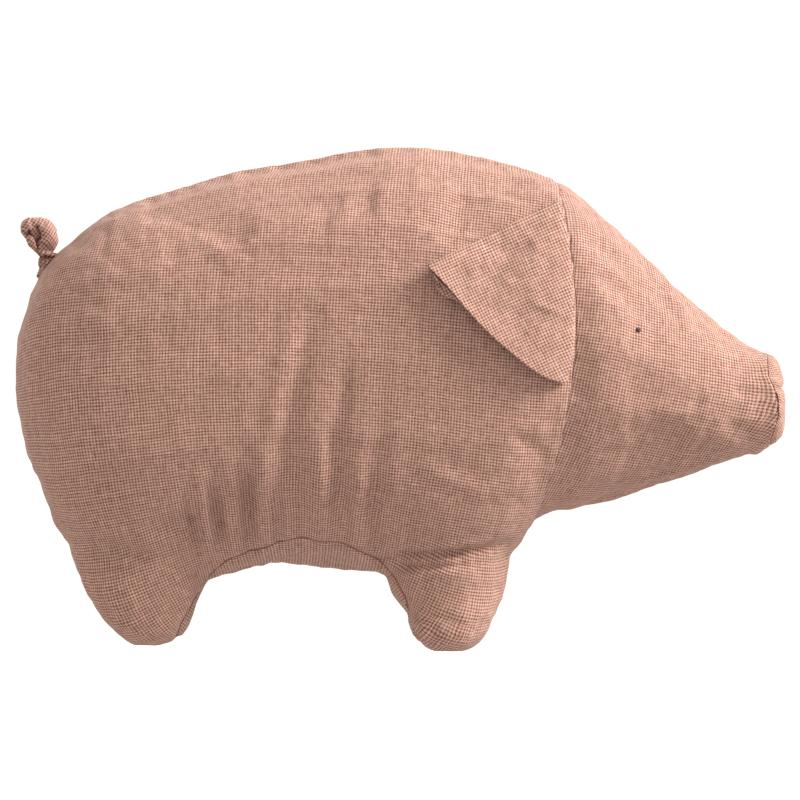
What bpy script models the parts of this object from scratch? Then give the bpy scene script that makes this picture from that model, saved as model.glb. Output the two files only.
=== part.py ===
"""A stuffed cloth pig, about half a metre long, standing on two broad stump legs.

It is sewn like the real toy: two side panels for the body, two for the head, a belly gusset
between the legs, a round snout, two ears of two layers, a knotted tail and two embroidered eyes,
all round a soft filling. X runs from the rump to the snout, Z up and Y to the pig's left. The
origin lies on the floor under the middle of the toy, and every length is in metres.
"""

import math

import bmesh
import bpy
import numpy as np
from mathutils import Vector
from mathutils.bvhtree import BVHTree

# Driving dimensions
TOY_LENGTH = 0.500
TOY_HEIGHT = 0.328
TOY_THICKNESS = 0.150
LEG_HEIGHT = 0.090
LEG_WIDTH = 0.078
GUSSET_WIDTH = 0.070
NECK_BOW = 0.0184
SNOUT_DEPTH = 0.0118
EYE_DIAMETER = 0.0038
EYE_HEIGHT = 0.0014
EAR_LIFT = 0.0070
TAIL_WIDTH = 0.0130

# Cloth and clearances
CLOTH = 0.0012
SEAM_GAP = 0.0003
FOOT_FLAT_DEPTH = 0.0005
EAR_CLEARANCE = 0.0010
HINGE_STANDOFF = 0.0008
HINGE_SETBACK = 0.0025
TAIL_VOXEL = 0.0016
HINGE_MARK_SIZE = 0.010

# Faces round and along each form
RING_POINTS = 20
LEG_POINTS = 18
RINGS_PER_ROW = 2
EAR_ROWS = 7
EAR_COLUMNS = 9
TUBE_SIDES = 12
TAIL_STEPS = 3
TAIL_END_DEGREES = (30, 60)
TRUNK_ROUNDNESS = 2.2
LEG_ROUNDNESS = 2.6
SHARP_ANGLE_DEGREES = 50

# Rings of the trunk from the rump to the snout: the ring's top point and bottom point as shares
# of length and height, its half width as a share of the half thickness, and its share of the bow.
TRUNK_SHARES = (
    (-0.500, 0.555, -0.500, 0.555, 0.00, 0.00),
    (-0.497, 0.607, -0.499, 0.503, 0.20, 0.00),
    (-0.489, 0.655, -0.494, 0.451, 0.36, 0.00),
    (-0.471, 0.735, -0.483, 0.378, 0.57, 0.00),
    (-0.434, 0.796, -0.462, 0.299, 0.75, 0.00),
    (-0.378, 0.863, -0.420, 0.177, 0.89, 0.00),
    (-0.304, 0.905, -0.330, 0.128, 0.97, 0.00),
    (-0.222, 0.945, -0.236, 0.137, 1.00, 0.00),
    (-0.130, 0.970, -0.140, 0.169, 1.00, 0.00),
    (-0.030, 1.000, -0.040, 0.155, 0.99, 0.05),
    (0.060, 0.994, 0.050, 0.134, 0.96, 0.20),
    (0.136, 0.970, 0.132, 0.168, 0.91, 0.55),
    (0.196, 0.939, 0.177, 0.265, 0.84, 1.00),
    (0.224, 0.913, 0.220, 0.285, 0.81, 0.85),
    (0.260, 0.867, 0.276, 0.305, 0.76, 0.60),
    (0.300, 0.812, 0.320, 0.329, 0.69, 0.40),
    (0.350, 0.738, 0.364, 0.352, 0.61, 0.22),
    (0.400, 0.676, 0.408, 0.377, 0.52, 0.10),
    (0.440, 0.630, 0.444, 0.398, 0.44, 0.03),
    (0.474, 0.599, 0.478, 0.425, 0.36, 0.00),
)
NECK_ROW = 12

# Rings of a leg from the foot up: height as a share of the leg's height, the rear and front edge
# as shares of the toy's length, and the half width as a share of the leg's half width.
REAR_LEG_SHARES = (
    (0.008, -0.341, -0.308, 0.38),
    (0.039, -0.351, -0.293, 0.56),
    (0.089, -0.362, -0.278, 0.69),
    (0.167, -0.377, -0.269, 0.79),
    (0.278, -0.392, -0.261, 0.88),
    (0.400, -0.406, -0.254, 0.95),
    (0.511, -0.415, -0.243, 0.98),
    (0.644, -0.425, -0.226, 1.00),
    (0.800, -0.425, -0.220, 0.97),
    (1.000, -0.408, -0.240, 0.77),
)
FRONT_LEG_SHARES = (
    (0.008, 0.047, 0.085, 0.38),
    (0.039, 0.036, 0.100, 0.56),
    (0.089, 0.027, 0.110, 0.69),
    (0.167, 0.018, 0.120, 0.79),
    (0.278, 0.014, 0.128, 0.88),
    (0.400, -0.003, 0.137, 0.95),
    (0.511, -0.014, 0.142, 0.98),
    (0.644, -0.020, 0.145, 1.00),
    (0.800, -0.016, 0.147, 0.97),
    (1.000, 0.000, 0.134, 0.77),
)

# The gusset up the legs: height as a share of the leg's height, then half width as a share of its
# own. It starts as a point just above the floor, and its ends lie over the middle of each foot. Its
# top is a share of the toy's height, so that it takes in the belly whatever the legs' height.
GUSSET_SHARES = (
    (0.020, 0.00),
    (0.070, 0.24),
    (0.170, 0.50),
    (0.310, 0.70),
    (0.500, 0.87),
    (0.670, 0.97),
    (0.850, 1.00),
)
GUSSET_END_SHARES = (-0.324, 0.066)
GUSSET_TOP_SHARE = 0.233

# The snout's rings: forward share of its depth, then share of the head's front ring.
SNOUT_SHARES = ((0.00, 0.93), (0.16, 1.00), (0.42, 0.98), (0.72, 0.82), (0.92, 0.52))

# The ear in side view, as shares of length and height: the two ends of its sewn edge and its tip.
EAR_LOW_SHARES = (0.216, 0.532)
EAR_HIGH_SHARES = (0.204, 0.890)
EAR_TIP_SHARES = (0.031, 0.760)
EAR_CORNER_SHARE = 0.055
EAR_TIP_WIDTH_SHARE = 0.05
EAR_MIDDLE_LIFT_SHARE = 0.35
EAR_CORNER_FADE = 4
STEEPEST_SHARE = 0.5

EYE_SHARES = (0.3064, 0.645)

# The tail's middle line from its pivot, in shares of its width, and its radius as a share of half
# of its width: a cone-shaped stem, the gathered ring, the big lobe over the top to the left, and
# the thinner strand that comes back under it with its end tucked in.
TAIL_BASE_SHARES = (-0.467, 0.744)
TAIL_SHARES = (
    (0.00, 0.00, 0.00, 0.37),
    (0.12, 0.00, 0.29, 0.54),
    (0.22, 0.00, 0.58, 0.65),
    (0.26, 0.00, 0.77, 0.57),
    (0.38, 0.00, 1.18, 0.92),
    (0.27, 0.00, 1.66, 0.95),
    (-0.08, 0.00, 1.98, 0.92),
    (-0.46, 0.00, 2.00, 0.86),
    (-0.68, -0.04, 1.75, 0.71),
    (-0.63, -0.14, 1.42, 0.49),
    (-0.45, -0.22, 1.12, 0.51),
    (-0.17, -0.18, 0.89, 0.52),
    (0.00, 0.00, 1.03, 0.43),
)


def clear_scene():
    for obj in list(bpy.data.objects):
        bpy.data.objects.remove(obj, do_unlink=True)


def own_material(name, finish):
    """A sub-part's own material. A finish is the material's name, colour and roughness."""
    kind, colour, roughness = finish
    material = bpy.data.materials.new(name + "_" + kind)
    material.use_nodes = True
    shader = material.node_tree.nodes["Principled BSDF"]
    shader.inputs["Base Color"].default_value = (*colour, 1.0)
    shader.inputs["Roughness"].default_value = roughness
    shader.inputs["Metallic"].default_value = 0.0
    return material


def add_object(name, points, faces, finish=None, place=None):
    """A closed mesh with its faces pointing out. With a place, the points are taken relative to it."""
    origin = Vector(place) if place is not None else Vector((0, 0, 0))
    mesh = bpy.data.meshes.new(name)
    mesh.from_pydata([tuple(Vector(p) - origin) for p in points], [], faces)
    shape = bmesh.new()
    shape.from_mesh(mesh)
    bmesh.ops.recalc_face_normals(shape, faces=shape.faces)
    shape.to_mesh(mesh)
    shape.free()
    mesh.shade_smooth()
    mesh.set_sharp_from_angle(angle=math.radians(SHARP_ANGLE_DEGREES))
    obj = bpy.data.objects.new(name, mesh)
    obj.location = origin
    bpy.context.scene.collection.objects.link(obj)
    if finish:
        mesh.materials.append(own_material(name, finish))
    return obj


def add_cutter(name, points, faces):
    cutter = add_object(name, points, faces)
    cutter.hide_render = True
    cutter.display_type = "WIRE"
    return cutter


def cut(obj, cutter, operation="DIFFERENCE"):
    modifier = obj.modifiers.new(operation.title() + "_" + cutter.name, "BOOLEAN")
    modifier.operation = operation
    modifier.object = cutter
    modifier.solver = "EXACT"


def smooth_between(rows, steps):
    """Rows of numbers with more between them, on a Catmull-Rom curve through the given ones."""
    rows = np.array(rows, float)
    padded = np.vstack([2 * rows[0] - rows[1], rows, 2 * rows[-1] - rows[-2]])
    found = []
    for i in range(len(rows) - 1):
        a, b, c, d = padded[i : i + 4]
        slope = c - a
        bend = 2 * a - 5 * b + 4 * c - d
        twist = 3 * b - a - 3 * c + d
        for t in np.arange(steps) / steps:
            found.append((2 * b + slope * t + bend * t**2 + twist * t**3) / 2)
    return np.array(found + [rows[-1]])


def rounded(angle, roundness):
    """A point of a superellipse that is 1 across each way."""
    c, s = math.cos(angle), math.sin(angle)
    return (
        math.copysign(abs(c) ** (2 / roundness), c),
        math.copysign(abs(s) ** (2 / roundness), s),
    )


def trunk_rings():
    """Rings of points down the trunk, each from its top down the right side and up the left."""
    rows = smooth_between(TRUNK_SHARES, RINGS_PER_ROW)
    rings = []
    for top_x, top_z, low_x, low_z, width, bow in rows[1:]:
        top = np.array([top_x * TOY_LENGTH, 0, top_z * TOY_HEIGHT])
        low = np.array([low_x * TOY_LENGTH, 0, low_z * TOY_HEIGHT])
        ring = []
        for i in range(RING_POINTS):
            up, out = rounded(2 * math.pi * i / RING_POINTS, TRUNK_ROUNDNESS)
            point = (top + low) / 2 + (top - low) / 2 * up
            point[0] += bow * NECK_BOW * (1 - up * up)
            point[1] = -out * width * TOY_THICKNESS / 2
            ring.append(point)
        rings.append(ring)
    pole = np.array([rows[0][0] * TOY_LENGTH, 0, rows[0][1] * TOY_HEIGHT])
    return np.array(rings), pole


def vertex_normals(points, faces):
    shape = bmesh.new()
    vertices = [shape.verts.new(p) for p in points]
    for face in faces:
        shape.faces.new([vertices[i] for i in face])
    bmesh.ops.recalc_face_normals(shape, faces=shape.faces)
    shape.normal_update()
    normals = np.array([v.normal[:] for v in vertices])
    shape.free()
    return normals


def grid_faces(rows, columns, closed):
    """Triangles of a grid of points whose rows are columns long, closed round each row if asked.

    On a closed grid the second half's diagonals mirror the first half's, so that both sides match.
    """
    faces = []
    for i in range(rows - 1):
        for j in range(columns if closed else columns - 1):
            here, after = i * columns + j, i * columns + (j + 1) % columns
            below, below_after = here + columns, after + columns
            if closed and j >= columns // 2:
                faces += [(here, after, below), (after, below_after, below)]
            else:
                faces += [(here, after, below_after), (here, below_after, below)]
    return faces


def ladder(start):
    """Faces that close a trunk ring with rungs from its right side to its left side."""
    half = RING_POINTS // 2
    faces = [(start, start + 1, start + RING_POINTS - 1)]
    for j in range(1, half - 1):
        faces.append((start + j, start + j + 1, start + RING_POINTS - j - 1, start + RING_POINTS - j))
    faces.append((start + half - 1, start + half, start + half + 1))
    return faces


class Trunk:
    """The closed outer skin of the body and head, and the same skin moved in or out."""

    def __init__(self):
        self.rings, self.pole = trunk_rings()
        count = len(self.rings)
        self.points = np.vstack([self.rings.reshape(-1, 3), self.pole])
        faces = grid_faces(count, RING_POINTS, True)
        faces += [(count * RING_POINTS, j, (j + 1) % RING_POINTS) for j in range(RING_POINTS)]
        faces += ladder((count - 1) * RING_POINTS)
        # The front ring's normals are the side's, so that the snout's face doesn't turn them.
        side_faces = faces[: -(RING_POINTS // 2)]
        self.faces = faces
        self.normals = vertex_normals(self.points, side_faces)
        self.neck = NECK_ROW * RINGS_PER_ROW - 1
        self.tree = BVHTree.FromPolygons([Vector(p) for p in self.points], faces)

    def moved(self, inset):
        points = self.points - self.normals * inset
        rings = points[:-1].reshape(self.rings.shape)
        return rings, points[-1]

    def side_of(self, x, z, side):
        """The point and outward direction of the skin at a place in side view."""
        reach = TOY_THICKNESS
        place, normal, _, _ = self.tree.ray_cast(Vector((x, side * reach, z)), Vector((0, -side, 0)))
        if normal.y * side < 0:
            normal = -normal
        return place, normal


def body_block(trunk, inset, shift):
    """Points and faces of the closed body form, ended at the neck seam."""
    rings, pole = trunk.moved(inset)
    rings = rings[: trunk.neck + 1].copy()
    rings[-1, :, 0] -= shift
    count = len(rings)
    faces = grid_faces(count, RING_POINTS, True)
    faces += [(count * RING_POINTS, (j + 1) % RING_POINTS, j) for j in range(RING_POINTS)]
    faces += ladder((count - 1) * RING_POINTS)
    return np.vstack([rings.reshape(-1, 3), pole]), faces


def head_block(trunk, inset, shift, front_shift):
    """Points and faces of the closed head form, from the neck seam to the snout."""
    rings = trunk.moved(inset)[0][trunk.neck :].copy()
    rings[0, :, 0] += shift
    rings[-1, :, 0] -= front_shift
    count = len(rings)
    faces = grid_faces(count, RING_POINTS, True) + ladder(0) + ladder((count - 1) * RING_POINTS)
    return rings.reshape(-1, 3), faces


def half_rings(rings, side):
    """The columns of one side, from the top seam to the bottom seam, clear of the middle plane."""
    half = RING_POINTS // 2
    order = list(range(half + 1)) if side < 0 else [0, *range(RING_POINTS - 1, half - 1, -1)]
    kept = rings[:, order].copy()
    kept[:, 0, 1] = kept[:, -1, 1] = side * SEAM_GAP / 2
    return kept


def shell_faces(rows, columns, pole):
    """Faces of a closed shell: an outer grid, an inner grid after it, and the rim between them."""
    size = rows * columns + (1 if pole else 0)
    outer = grid_faces(rows, columns, False)
    rim = [i * columns for i in range(rows)]
    rim += [(rows - 1) * columns + j for j in range(1, columns)]
    rim += [i * columns + columns - 1 for i in range(rows - 2, -1, -1)]
    if pole:
        outer += [(rows * columns, j + 1, j) for j in range(columns - 1)]
        rim.append(rows * columns)
    else:
        rim += [j for j in range(columns - 2, 0, -1)]
    inner = [tuple(size + i for i in reversed(face)) for face in outer]
    around = [(a, b, size + b, size + a) for a, b in zip(rim, rim[1:] + rim[:1])]
    return outer + inner + around


def half_shell(name, outer, inner, poles, side, finish):
    """A side panel of the given rings, from the outer skin to the inner one."""
    points = []
    for rings, pole in ((outer, poles[0] if poles else None), (inner, poles[1] if poles else None)):
        kept = half_rings(rings, side)
        points.append(kept.reshape(-1, 3))
        if pole is not None:
            points.append(np.array([[pole[0], side * SEAM_GAP / 2, pole[2]]]))
    rows, columns = outer.shape[0], RING_POINTS // 2 + 1
    return add_object(name, np.vstack(points), shell_faces(rows, columns, poles is not None), finish)


def leg_block(shares, inset):
    """Points and faces of a leg, its foot cut flat. A positive inset moves the skin in."""
    rings = []
    for height, rear, front, width in shares:
        middle = (rear + front) / 2 * TOY_LENGTH
        half_length = (front - rear) / 2 * TOY_LENGTH
        ring = []
        for i in range(LEG_POINTS):
            along, out = rounded(2 * math.pi * i / LEG_POINTS, LEG_ROUNDNESS)
            ring.append(
                (middle + along * half_length, out * width * LEG_WIDTH / 2, height * LEG_HEIGHT)
            )
        rings.append(ring)
    count = len(rings)
    low = np.mean(rings[0], axis=0)
    low[2] = -FOOT_FLAT_DEPTH
    points = np.vstack([np.array(rings).reshape(-1, 3), low])
    faces = grid_faces(count, LEG_POINTS, True)
    faces += [(count * LEG_POINTS, (j + 1) % LEG_POINTS, j) for j in range(LEG_POINTS)]
    faces.append(tuple(range((count - 1) * LEG_POINTS, count * LEG_POINTS)))
    points = points - vertex_normals(points, faces) * inset
    return flat_foot(points, faces, max(inset, 0.0))


def flat_foot(points, faces, level):
    """The leg with all below a level cut off square."""
    shape = bmesh.new()
    vertices = [shape.verts.new(p) for p in points]
    for face in faces:
        shape.faces.new([vertices[i] for i in face])
    bmesh.ops.bisect_plane(
        shape,
        geom=shape.verts[:] + shape.edges[:] + shape.faces[:],
        plane_co=(0, 0, level),
        plane_no=(0, 0, 1),
        clear_inner=True,
    )
    bmesh.ops.holes_fill(shape, edges=[e for e in shape.edges if e.is_boundary], sides=0)
    shape.verts.index_update()
    kept = np.array([v.co[:] for v in shape.verts])
    found = [tuple(v.index for v in f.verts) for f in shape.faces]
    shape.free()
    return kept, found


def gusset_block(grow):
    """A prism between the feet, as wide at each height as the gusset is there."""
    profile = [(w * GUSSET_WIDTH / 2 + grow, h * LEG_HEIGHT) for h, w in GUSSET_SHARES]
    profile[0] = (0.0, GUSSET_SHARES[0][0] * LEG_HEIGHT - grow)
    profile[-1] = (GUSSET_WIDTH / 2 + grow, max(profile[-1][1], GUSSET_TOP_SHARE * TOY_HEIGHT))
    outline = [(-y, z) for y, z in profile[:0:-1]] + profile
    start, end = (share * TOY_LENGTH for share in GUSSET_END_SHARES)
    points = [(start - grow, y, z) for y, z in outline] + [(end + grow, y, z) for y, z in outline]
    n = len(outline)
    faces = [tuple(range(n)), tuple(range(2 * n - 1, n - 1, -1))]
    faces += [(i, (i + 1) % n, n + (i + 1) % n, n + i) for i in range(n)]
    return points, faces


def make_body(trunk, cloth, filling):
    """The two side panels of the body, the gusset, the legs' cloth and what fills them."""
    inner_rings, inner_pole = trunk.moved(CLOTH)
    rear_cutter = add_cutter("rear_leg_cutter", *leg_block(REAR_LEG_SHARES, -SEAM_GAP))
    front_cutter = add_cutter("front_leg_cutter", *leg_block(FRONT_LEG_SHARES, -SEAM_GAP))
    gusset_cutter = add_cutter("gusset_cutter", *gusset_block(SEAM_GAP))
    skin_cutter = add_cutter("body_skin_cutter", *body_block(trunk, -SEAM_GAP, 0.0))
    core_cutter = add_cutter("body_core_cutter", *body_block(trunk, CLOTH, 0.0))

    outer = trunk.rings[: trunk.neck + 1].copy()
    inner = inner_rings[: trunk.neck + 1].copy()
    outer[-1, :, 0] -= SEAM_GAP / 2
    inner[-1, :, 0] -= SEAM_GAP / 2
    for name, side in (("right_body_panel", -1), ("left_body_panel", 1)):
        panel = half_shell(name, outer, inner, (trunk.pole, inner_pole), side, cloth)
        for cutter in (rear_cutter, front_cutter, gusset_cutter):
            cut(panel, cutter)

    add_object("body_filling", *body_block(trunk, CLOTH + SEAM_GAP, SEAM_GAP / 2), filling)

    inner_legs = []
    for name, shares in (("rear_leg", REAR_LEG_SHARES), ("front_leg", FRONT_LEG_SHARES)):
        hollow = add_cutter(name + "_hollow", *leg_block(shares, CLOTH))
        cover = add_object(name + "_cover", *leg_block(shares, 0.0), cloth)
        cut(cover, hollow)
        cut(cover, skin_cutter)
        cut(cover, gusset_cutter)
        stuffing = add_object(name + "_filling", *leg_block(shares, CLOTH + SEAM_GAP), filling)
        cut(stuffing, core_cutter)
        inner_legs.append(hollow)

    gusset = add_object("belly_gusset", *body_block(trunk, 0.0, 0.0), cloth)
    for shares, name in ((REAR_LEG_SHARES, "rear_leg_form"), (FRONT_LEG_SHARES, "front_leg_form")):
        cut(gusset, add_cutter(name, *leg_block(shares, 0.0)), "UNION")
    cut(gusset, core_cutter)
    for hollow in inner_legs:
        cut(gusset, hollow)
    cut(gusset, add_cutter("gusset_form", *gusset_block(0.0)), "INTERSECT")


def make_head(trunk, cloth, filling):
    """The two side panels of the head and what fills them."""
    outer = trunk.rings[trunk.neck :].copy()
    inner = trunk.moved(CLOTH)[0][trunk.neck :].copy()
    outer[0, :, 0] += SEAM_GAP / 2
    inner[0, :, 0] += SEAM_GAP / 2
    for name, side in (("right_head_panel", -1), ("left_head_panel", 1)):
        half_shell(name, outer, inner, None, side, cloth)
    add_object("head_filling", *head_block(trunk, CLOTH + SEAM_GAP, SEAM_GAP / 2, 0.0), filling)


def make_snout(trunk, cloth):
    """The round cushioned face of the snout, against the head's front ring."""
    ring = trunk.rings[-1]
    middle = ring.mean(axis=0)
    points = []
    for forward, share in SNOUT_SHARES:
        row = middle + (ring - middle) * share
        row[:, 0] = ring[:, 0] + SEAM_GAP + forward * (SNOUT_DEPTH - SEAM_GAP)
        points.append(row)
    count = len(points)
    front = middle + np.array([SNOUT_DEPTH, 0, 0])
    faces = grid_faces(count, RING_POINTS, True) + ladder(0)
    last = (count - 1) * RING_POINTS
    tip = count * RING_POINTS
    faces += [(tip, last + j, last + (j + 1) % RING_POINTS) for j in range(RING_POINTS)]
    add_object("snout", np.vstack(points + [front]), faces, cloth, place=middle)


def ear_places(trunk, side):
    """For each grid point of an ear, its place on the skin, the way out, and its share from the root."""
    low, high, tip = (
        np.array([x * TOY_LENGTH, z * TOY_HEIGHT])
        for x, z in (EAR_LOW_SHARES, EAR_HIGH_SHARES, EAR_TIP_SHARES)
    )
    places = []
    for i in range(EAR_ROWS + 1):
        s = i / EAR_ROWS
        width = 1 - (1 - EAR_TIP_WIDTH_SHARE) * s
        corner = EAR_CORNER_SHARE * math.exp(-(EAR_CORNER_FADE * s) ** 2)
        root = low + (high - low) * corner
        spine = (low + high) / 2 * (1 - s) + tip * s
        start = root - (low + high) / 2
        end = (high - low) / 2
        for j in range(EAR_COLUMNS + 1):
            t = j / EAR_COLUMNS
            across = (start * (1 - t) + end * t) * width
            x, z = spine + across
            place, normal = trunk.side_of(x, z, side)
            edge = max(2 * abs(t - 0.5), s)
            places.append((np.array(place), 1 / max(abs(normal.y), STEEPEST_SHARE), s, edge))
    return places


def hinge_of(trunk, side):
    """The straight axis just outside the curved skin along an ear's sewn edge: a place and a direction."""
    low, high = (
        np.array([x * TOY_LENGTH, z * TOY_HEIGHT]) for x, z in (EAR_LOW_SHARES, EAR_HIGH_SHARES)
    )
    shares = np.linspace(0, 1, EAR_COLUMNS + 1)
    edge = [trunk.side_of(*(low + (high - low) * t), side)[0] for t in shares]
    first = edge[0]
    last = edge[-1]
    chord = last.y - first.y
    bulge = max(side * (p.y - first.y - chord * t) for t, p in zip(shares, edge))
    thickness = 2 * CLOTH + SEAM_GAP + EAR_CLEARANCE
    # Ahead of the sewn edge, so that the lining's edge lifts off the body as the ear turns out.
    offset = Vector((HINGE_SETBACK, side * (bulge + thickness + HINGE_STANDOFF), 0))
    return (first + last) / 2 + offset, (last - first).normalized()


def make_ear(trunk, name, side, cloth):
    """One ear: a lining towards the body and an outer layer, both on the hinge along the neck seam."""
    place, axis = hinge_of(trunk, side)
    hinge = bpy.data.objects.new(name + "_hinge", None)
    hinge.location = place
    hinge.empty_display_size = HINGE_MARK_SIZE
    bpy.context.scene.collection.objects.link(hinge)
    grid = ear_places(trunk, side)
    rows, columns = EAR_ROWS + 1, EAR_COLUMNS + 1
    layers = {"lining": EAR_CLEARANCE, "outer": EAR_CLEARANCE + CLOTH + SEAM_GAP}
    for layer, start in layers.items():
        points = []
        for depth in (start + CLOTH, start):
            for skin, stretch, s, edge in grid:
                curl = EAR_MIDDLE_LIFT_SHARE + (1 - EAR_MIDDLE_LIFT_SHARE) * edge**2
                lift = EAR_LIFT * s * curl
                points.append(skin + np.array([0, side * (depth * stretch + lift), 0]))
        ear = add_object(name + "_" + layer, points, shell_faces(rows, columns, False), cloth, place=place)
        ear.location = (0, 0, 0)
        ear.parent = hinge
    return place, axis


def make_eye(trunk, name, side, thread):
    """An embroidered knot on the side of the head."""
    x, z = (share * size for share, size in zip(EYE_SHARES, (TOY_LENGTH, TOY_HEIGHT)))
    place, normal = trunk.side_of(x, z, side)
    shape = bmesh.new()
    bmesh.ops.create_icosphere(shape, subdivisions=2, radius=1.0)
    mesh = bpy.data.meshes.new(name)
    half = EYE_HEIGHT / 2
    bmesh.ops.scale(shape, vec=(EYE_DIAMETER / 2, EYE_DIAMETER / 2, half), verts=shape.verts)
    shape.to_mesh(mesh)
    shape.free()
    mesh.shade_smooth()
    mesh.materials.append(own_material(name, thread))
    eye = bpy.data.objects.new(name, mesh)
    eye.rotation_mode = "QUATERNION"
    eye.rotation_quaternion = normal.to_track_quat("Z", "Y")
    eye.location = place + normal * (SEAM_GAP + half)
    bpy.context.scene.collection.objects.link(eye)


def tube(path, radii):
    """Points and faces of a round tube along a path, its ends closed."""
    path = np.array(path, float)
    along = np.gradient(path, axis=0)
    along /= np.linalg.norm(along, axis=1)[:, None]
    across = Vector((0, 1, 0))
    points = []
    for place, way, radius in zip(path, along, radii):
        way = Vector(way)
        across = (across - way * across.dot(way)).normalized()
        other = way.cross(across)
        for i in range(TUBE_SIDES):
            angle = 2 * math.pi * i / TUBE_SIDES
            points.append(Vector(place) + (across * math.cos(angle) + other * math.sin(angle)) * radius)
    last = (len(path) - 1) * TUBE_SIDES
    faces = grid_faces(len(path), TUBE_SIDES, True)
    faces += [tuple(range(TUBE_SIDES)), tuple(range(last, last + TUBE_SIDES))]
    return points, faces


def tail_pivot(trunk):
    """Where the tail leaves the back seam: the middle of its round end, just clear of the skin."""
    seam = Vector((TAIL_BASE_SHARES[0] * TOY_LENGTH, 0, TAIL_BASE_SHARES[1] * TOY_HEIGHT))
    place, normal, _, _ = trunk.tree.find_nearest(seam)
    outward = Vector((normal.x, 0, normal.z)).normalized()
    if outward.z < 0:
        outward = -outward
    radius = TAIL_SHARES[0][-1] * TAIL_WIDTH / 2
    return Vector((place.x, 0, place.z)) + outward * (SEAM_GAP + radius)


def make_tail(trunk, cloth):
    """A stuffed cloth tube that curls over into a knot, on its hinge in the back seam."""
    pivot = tail_pivot(trunk)
    rows = smooth_between(TAIL_SHARES, TAIL_STEPS)
    path = [np.array(pivot) + row[:3] * TAIL_WIDTH for row in rows]
    radii = [row[3] * TAIL_WIDTH / 2 for row in rows]
    path, radii = with_round_ends(path, radii)
    tail = add_object("tail", *tube(path, radii), cloth, place=pivot)
    remesh = tail.modifiers.new("Merged_cloth", "REMESH")
    remesh.mode = "VOXEL"
    remesh.voxel_size = TAIL_VOXEL
    remesh.use_smooth_shade = True
    return pivot


def with_round_ends(path, radii):
    """The same path with smaller rings beyond both ends, so that they are round."""
    for end, near in ((0, 1), (-1, -2)):
        place = path[end]
        radius = radii[end]
        way = place - path[near]
        way /= np.linalg.norm(way)
        for degrees in TAIL_END_DEGREES:
            angle = math.radians(degrees)
            ring = place + way * radius * math.sin(angle)
            size = radius * math.cos(angle)
            path = [ring] + path if end == 0 else path + [ring]
            radii = [size] + radii if end == 0 else radii + [size]
    return path, radii


def main():
    clear_scene()
    cloth = ("check_cloth", (0.64, 0.36, 0.28), 0.9)
    filling = ("soft_fibre", (0.86, 0.84, 0.80), 1.0)
    thread = ("brown_thread", (0.06, 0.02, 0.015), 0.6)
    trunk = Trunk()
    make_body(trunk, cloth, filling)
    make_head(trunk, cloth, filling)
    make_snout(trunk, cloth)
    for name, side in (("right_ear", -1), ("left_ear", 1)):
        place, axis = make_ear(trunk, name, side, cloth)
        print(name, "hinge at", [round(v, 5) for v in place], "along", [round(v, 5) for v in axis])
    for name, side in (("right_eye", -1), ("left_eye", 1)):
        make_eye(trunk, name, side, thread)
    pivot = make_tail(trunk, cloth)
    print("tail hinge at", [round(v, 5) for v in pivot])


main()
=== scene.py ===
# %% [markdown]
# # A stuffed cloth pig
# The pig is half a metre long and sewn from a cotton cloth with a very small check. Two side
# panels, each cut in one with its legs, two head panels and a strip under the belly are sewn
# together and stuffed. The snout is a gathered round, the ears are flat flaps of two layers, the
# tail is a thin stuffed tube tied in a knot, and each eye is one knot of thread.
#
# This file builds what is seen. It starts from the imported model, which holds every solid in its
# place, and dresses it: stuffed forms swell between their seams, and cloth gets folds and a weave.

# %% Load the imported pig
import math
from itertools import combinations

import bmesh
import bpy
import numpy as np
from mathutils import Matrix, Vector, noise
from mathutils.bvhtree import BVHTree
from mathutils.kdtree import KDTree


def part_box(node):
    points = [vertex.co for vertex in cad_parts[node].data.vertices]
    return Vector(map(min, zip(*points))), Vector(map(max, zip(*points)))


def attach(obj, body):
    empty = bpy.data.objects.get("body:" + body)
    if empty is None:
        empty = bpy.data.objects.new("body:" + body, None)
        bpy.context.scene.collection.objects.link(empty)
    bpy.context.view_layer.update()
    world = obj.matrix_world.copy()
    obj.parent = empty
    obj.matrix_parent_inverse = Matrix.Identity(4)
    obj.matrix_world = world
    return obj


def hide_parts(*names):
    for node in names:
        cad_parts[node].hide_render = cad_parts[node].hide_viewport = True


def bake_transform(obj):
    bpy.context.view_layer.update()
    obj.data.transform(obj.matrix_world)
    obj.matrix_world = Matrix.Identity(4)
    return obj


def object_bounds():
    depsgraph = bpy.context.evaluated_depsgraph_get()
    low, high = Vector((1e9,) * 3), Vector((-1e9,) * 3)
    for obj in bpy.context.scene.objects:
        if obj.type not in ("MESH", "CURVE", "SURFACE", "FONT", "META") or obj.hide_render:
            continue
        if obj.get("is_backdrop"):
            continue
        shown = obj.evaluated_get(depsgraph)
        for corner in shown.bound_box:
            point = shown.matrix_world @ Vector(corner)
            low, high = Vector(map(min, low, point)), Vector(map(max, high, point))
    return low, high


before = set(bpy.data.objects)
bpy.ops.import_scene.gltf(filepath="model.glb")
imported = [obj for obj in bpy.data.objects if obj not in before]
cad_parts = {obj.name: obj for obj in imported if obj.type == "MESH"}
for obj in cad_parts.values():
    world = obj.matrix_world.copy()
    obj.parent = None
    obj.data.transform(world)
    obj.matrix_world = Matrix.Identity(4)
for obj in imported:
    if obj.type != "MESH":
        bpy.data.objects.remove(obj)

cad_box = [list(corner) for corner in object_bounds()]
print("packed box", cad_box)

# %% [markdown]
# ## Camera
# The pig is seen square from its right side, from far off: both legs show no side of their own.
# A very long lens does the same. It stands at the floor's height, so the floor is seen edge-on and
# no shadow shows on it. The picture is turned by about one degree, because the real toy leans a
# little, so the camera is rolled and the pig stays upright on its feet.

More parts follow.
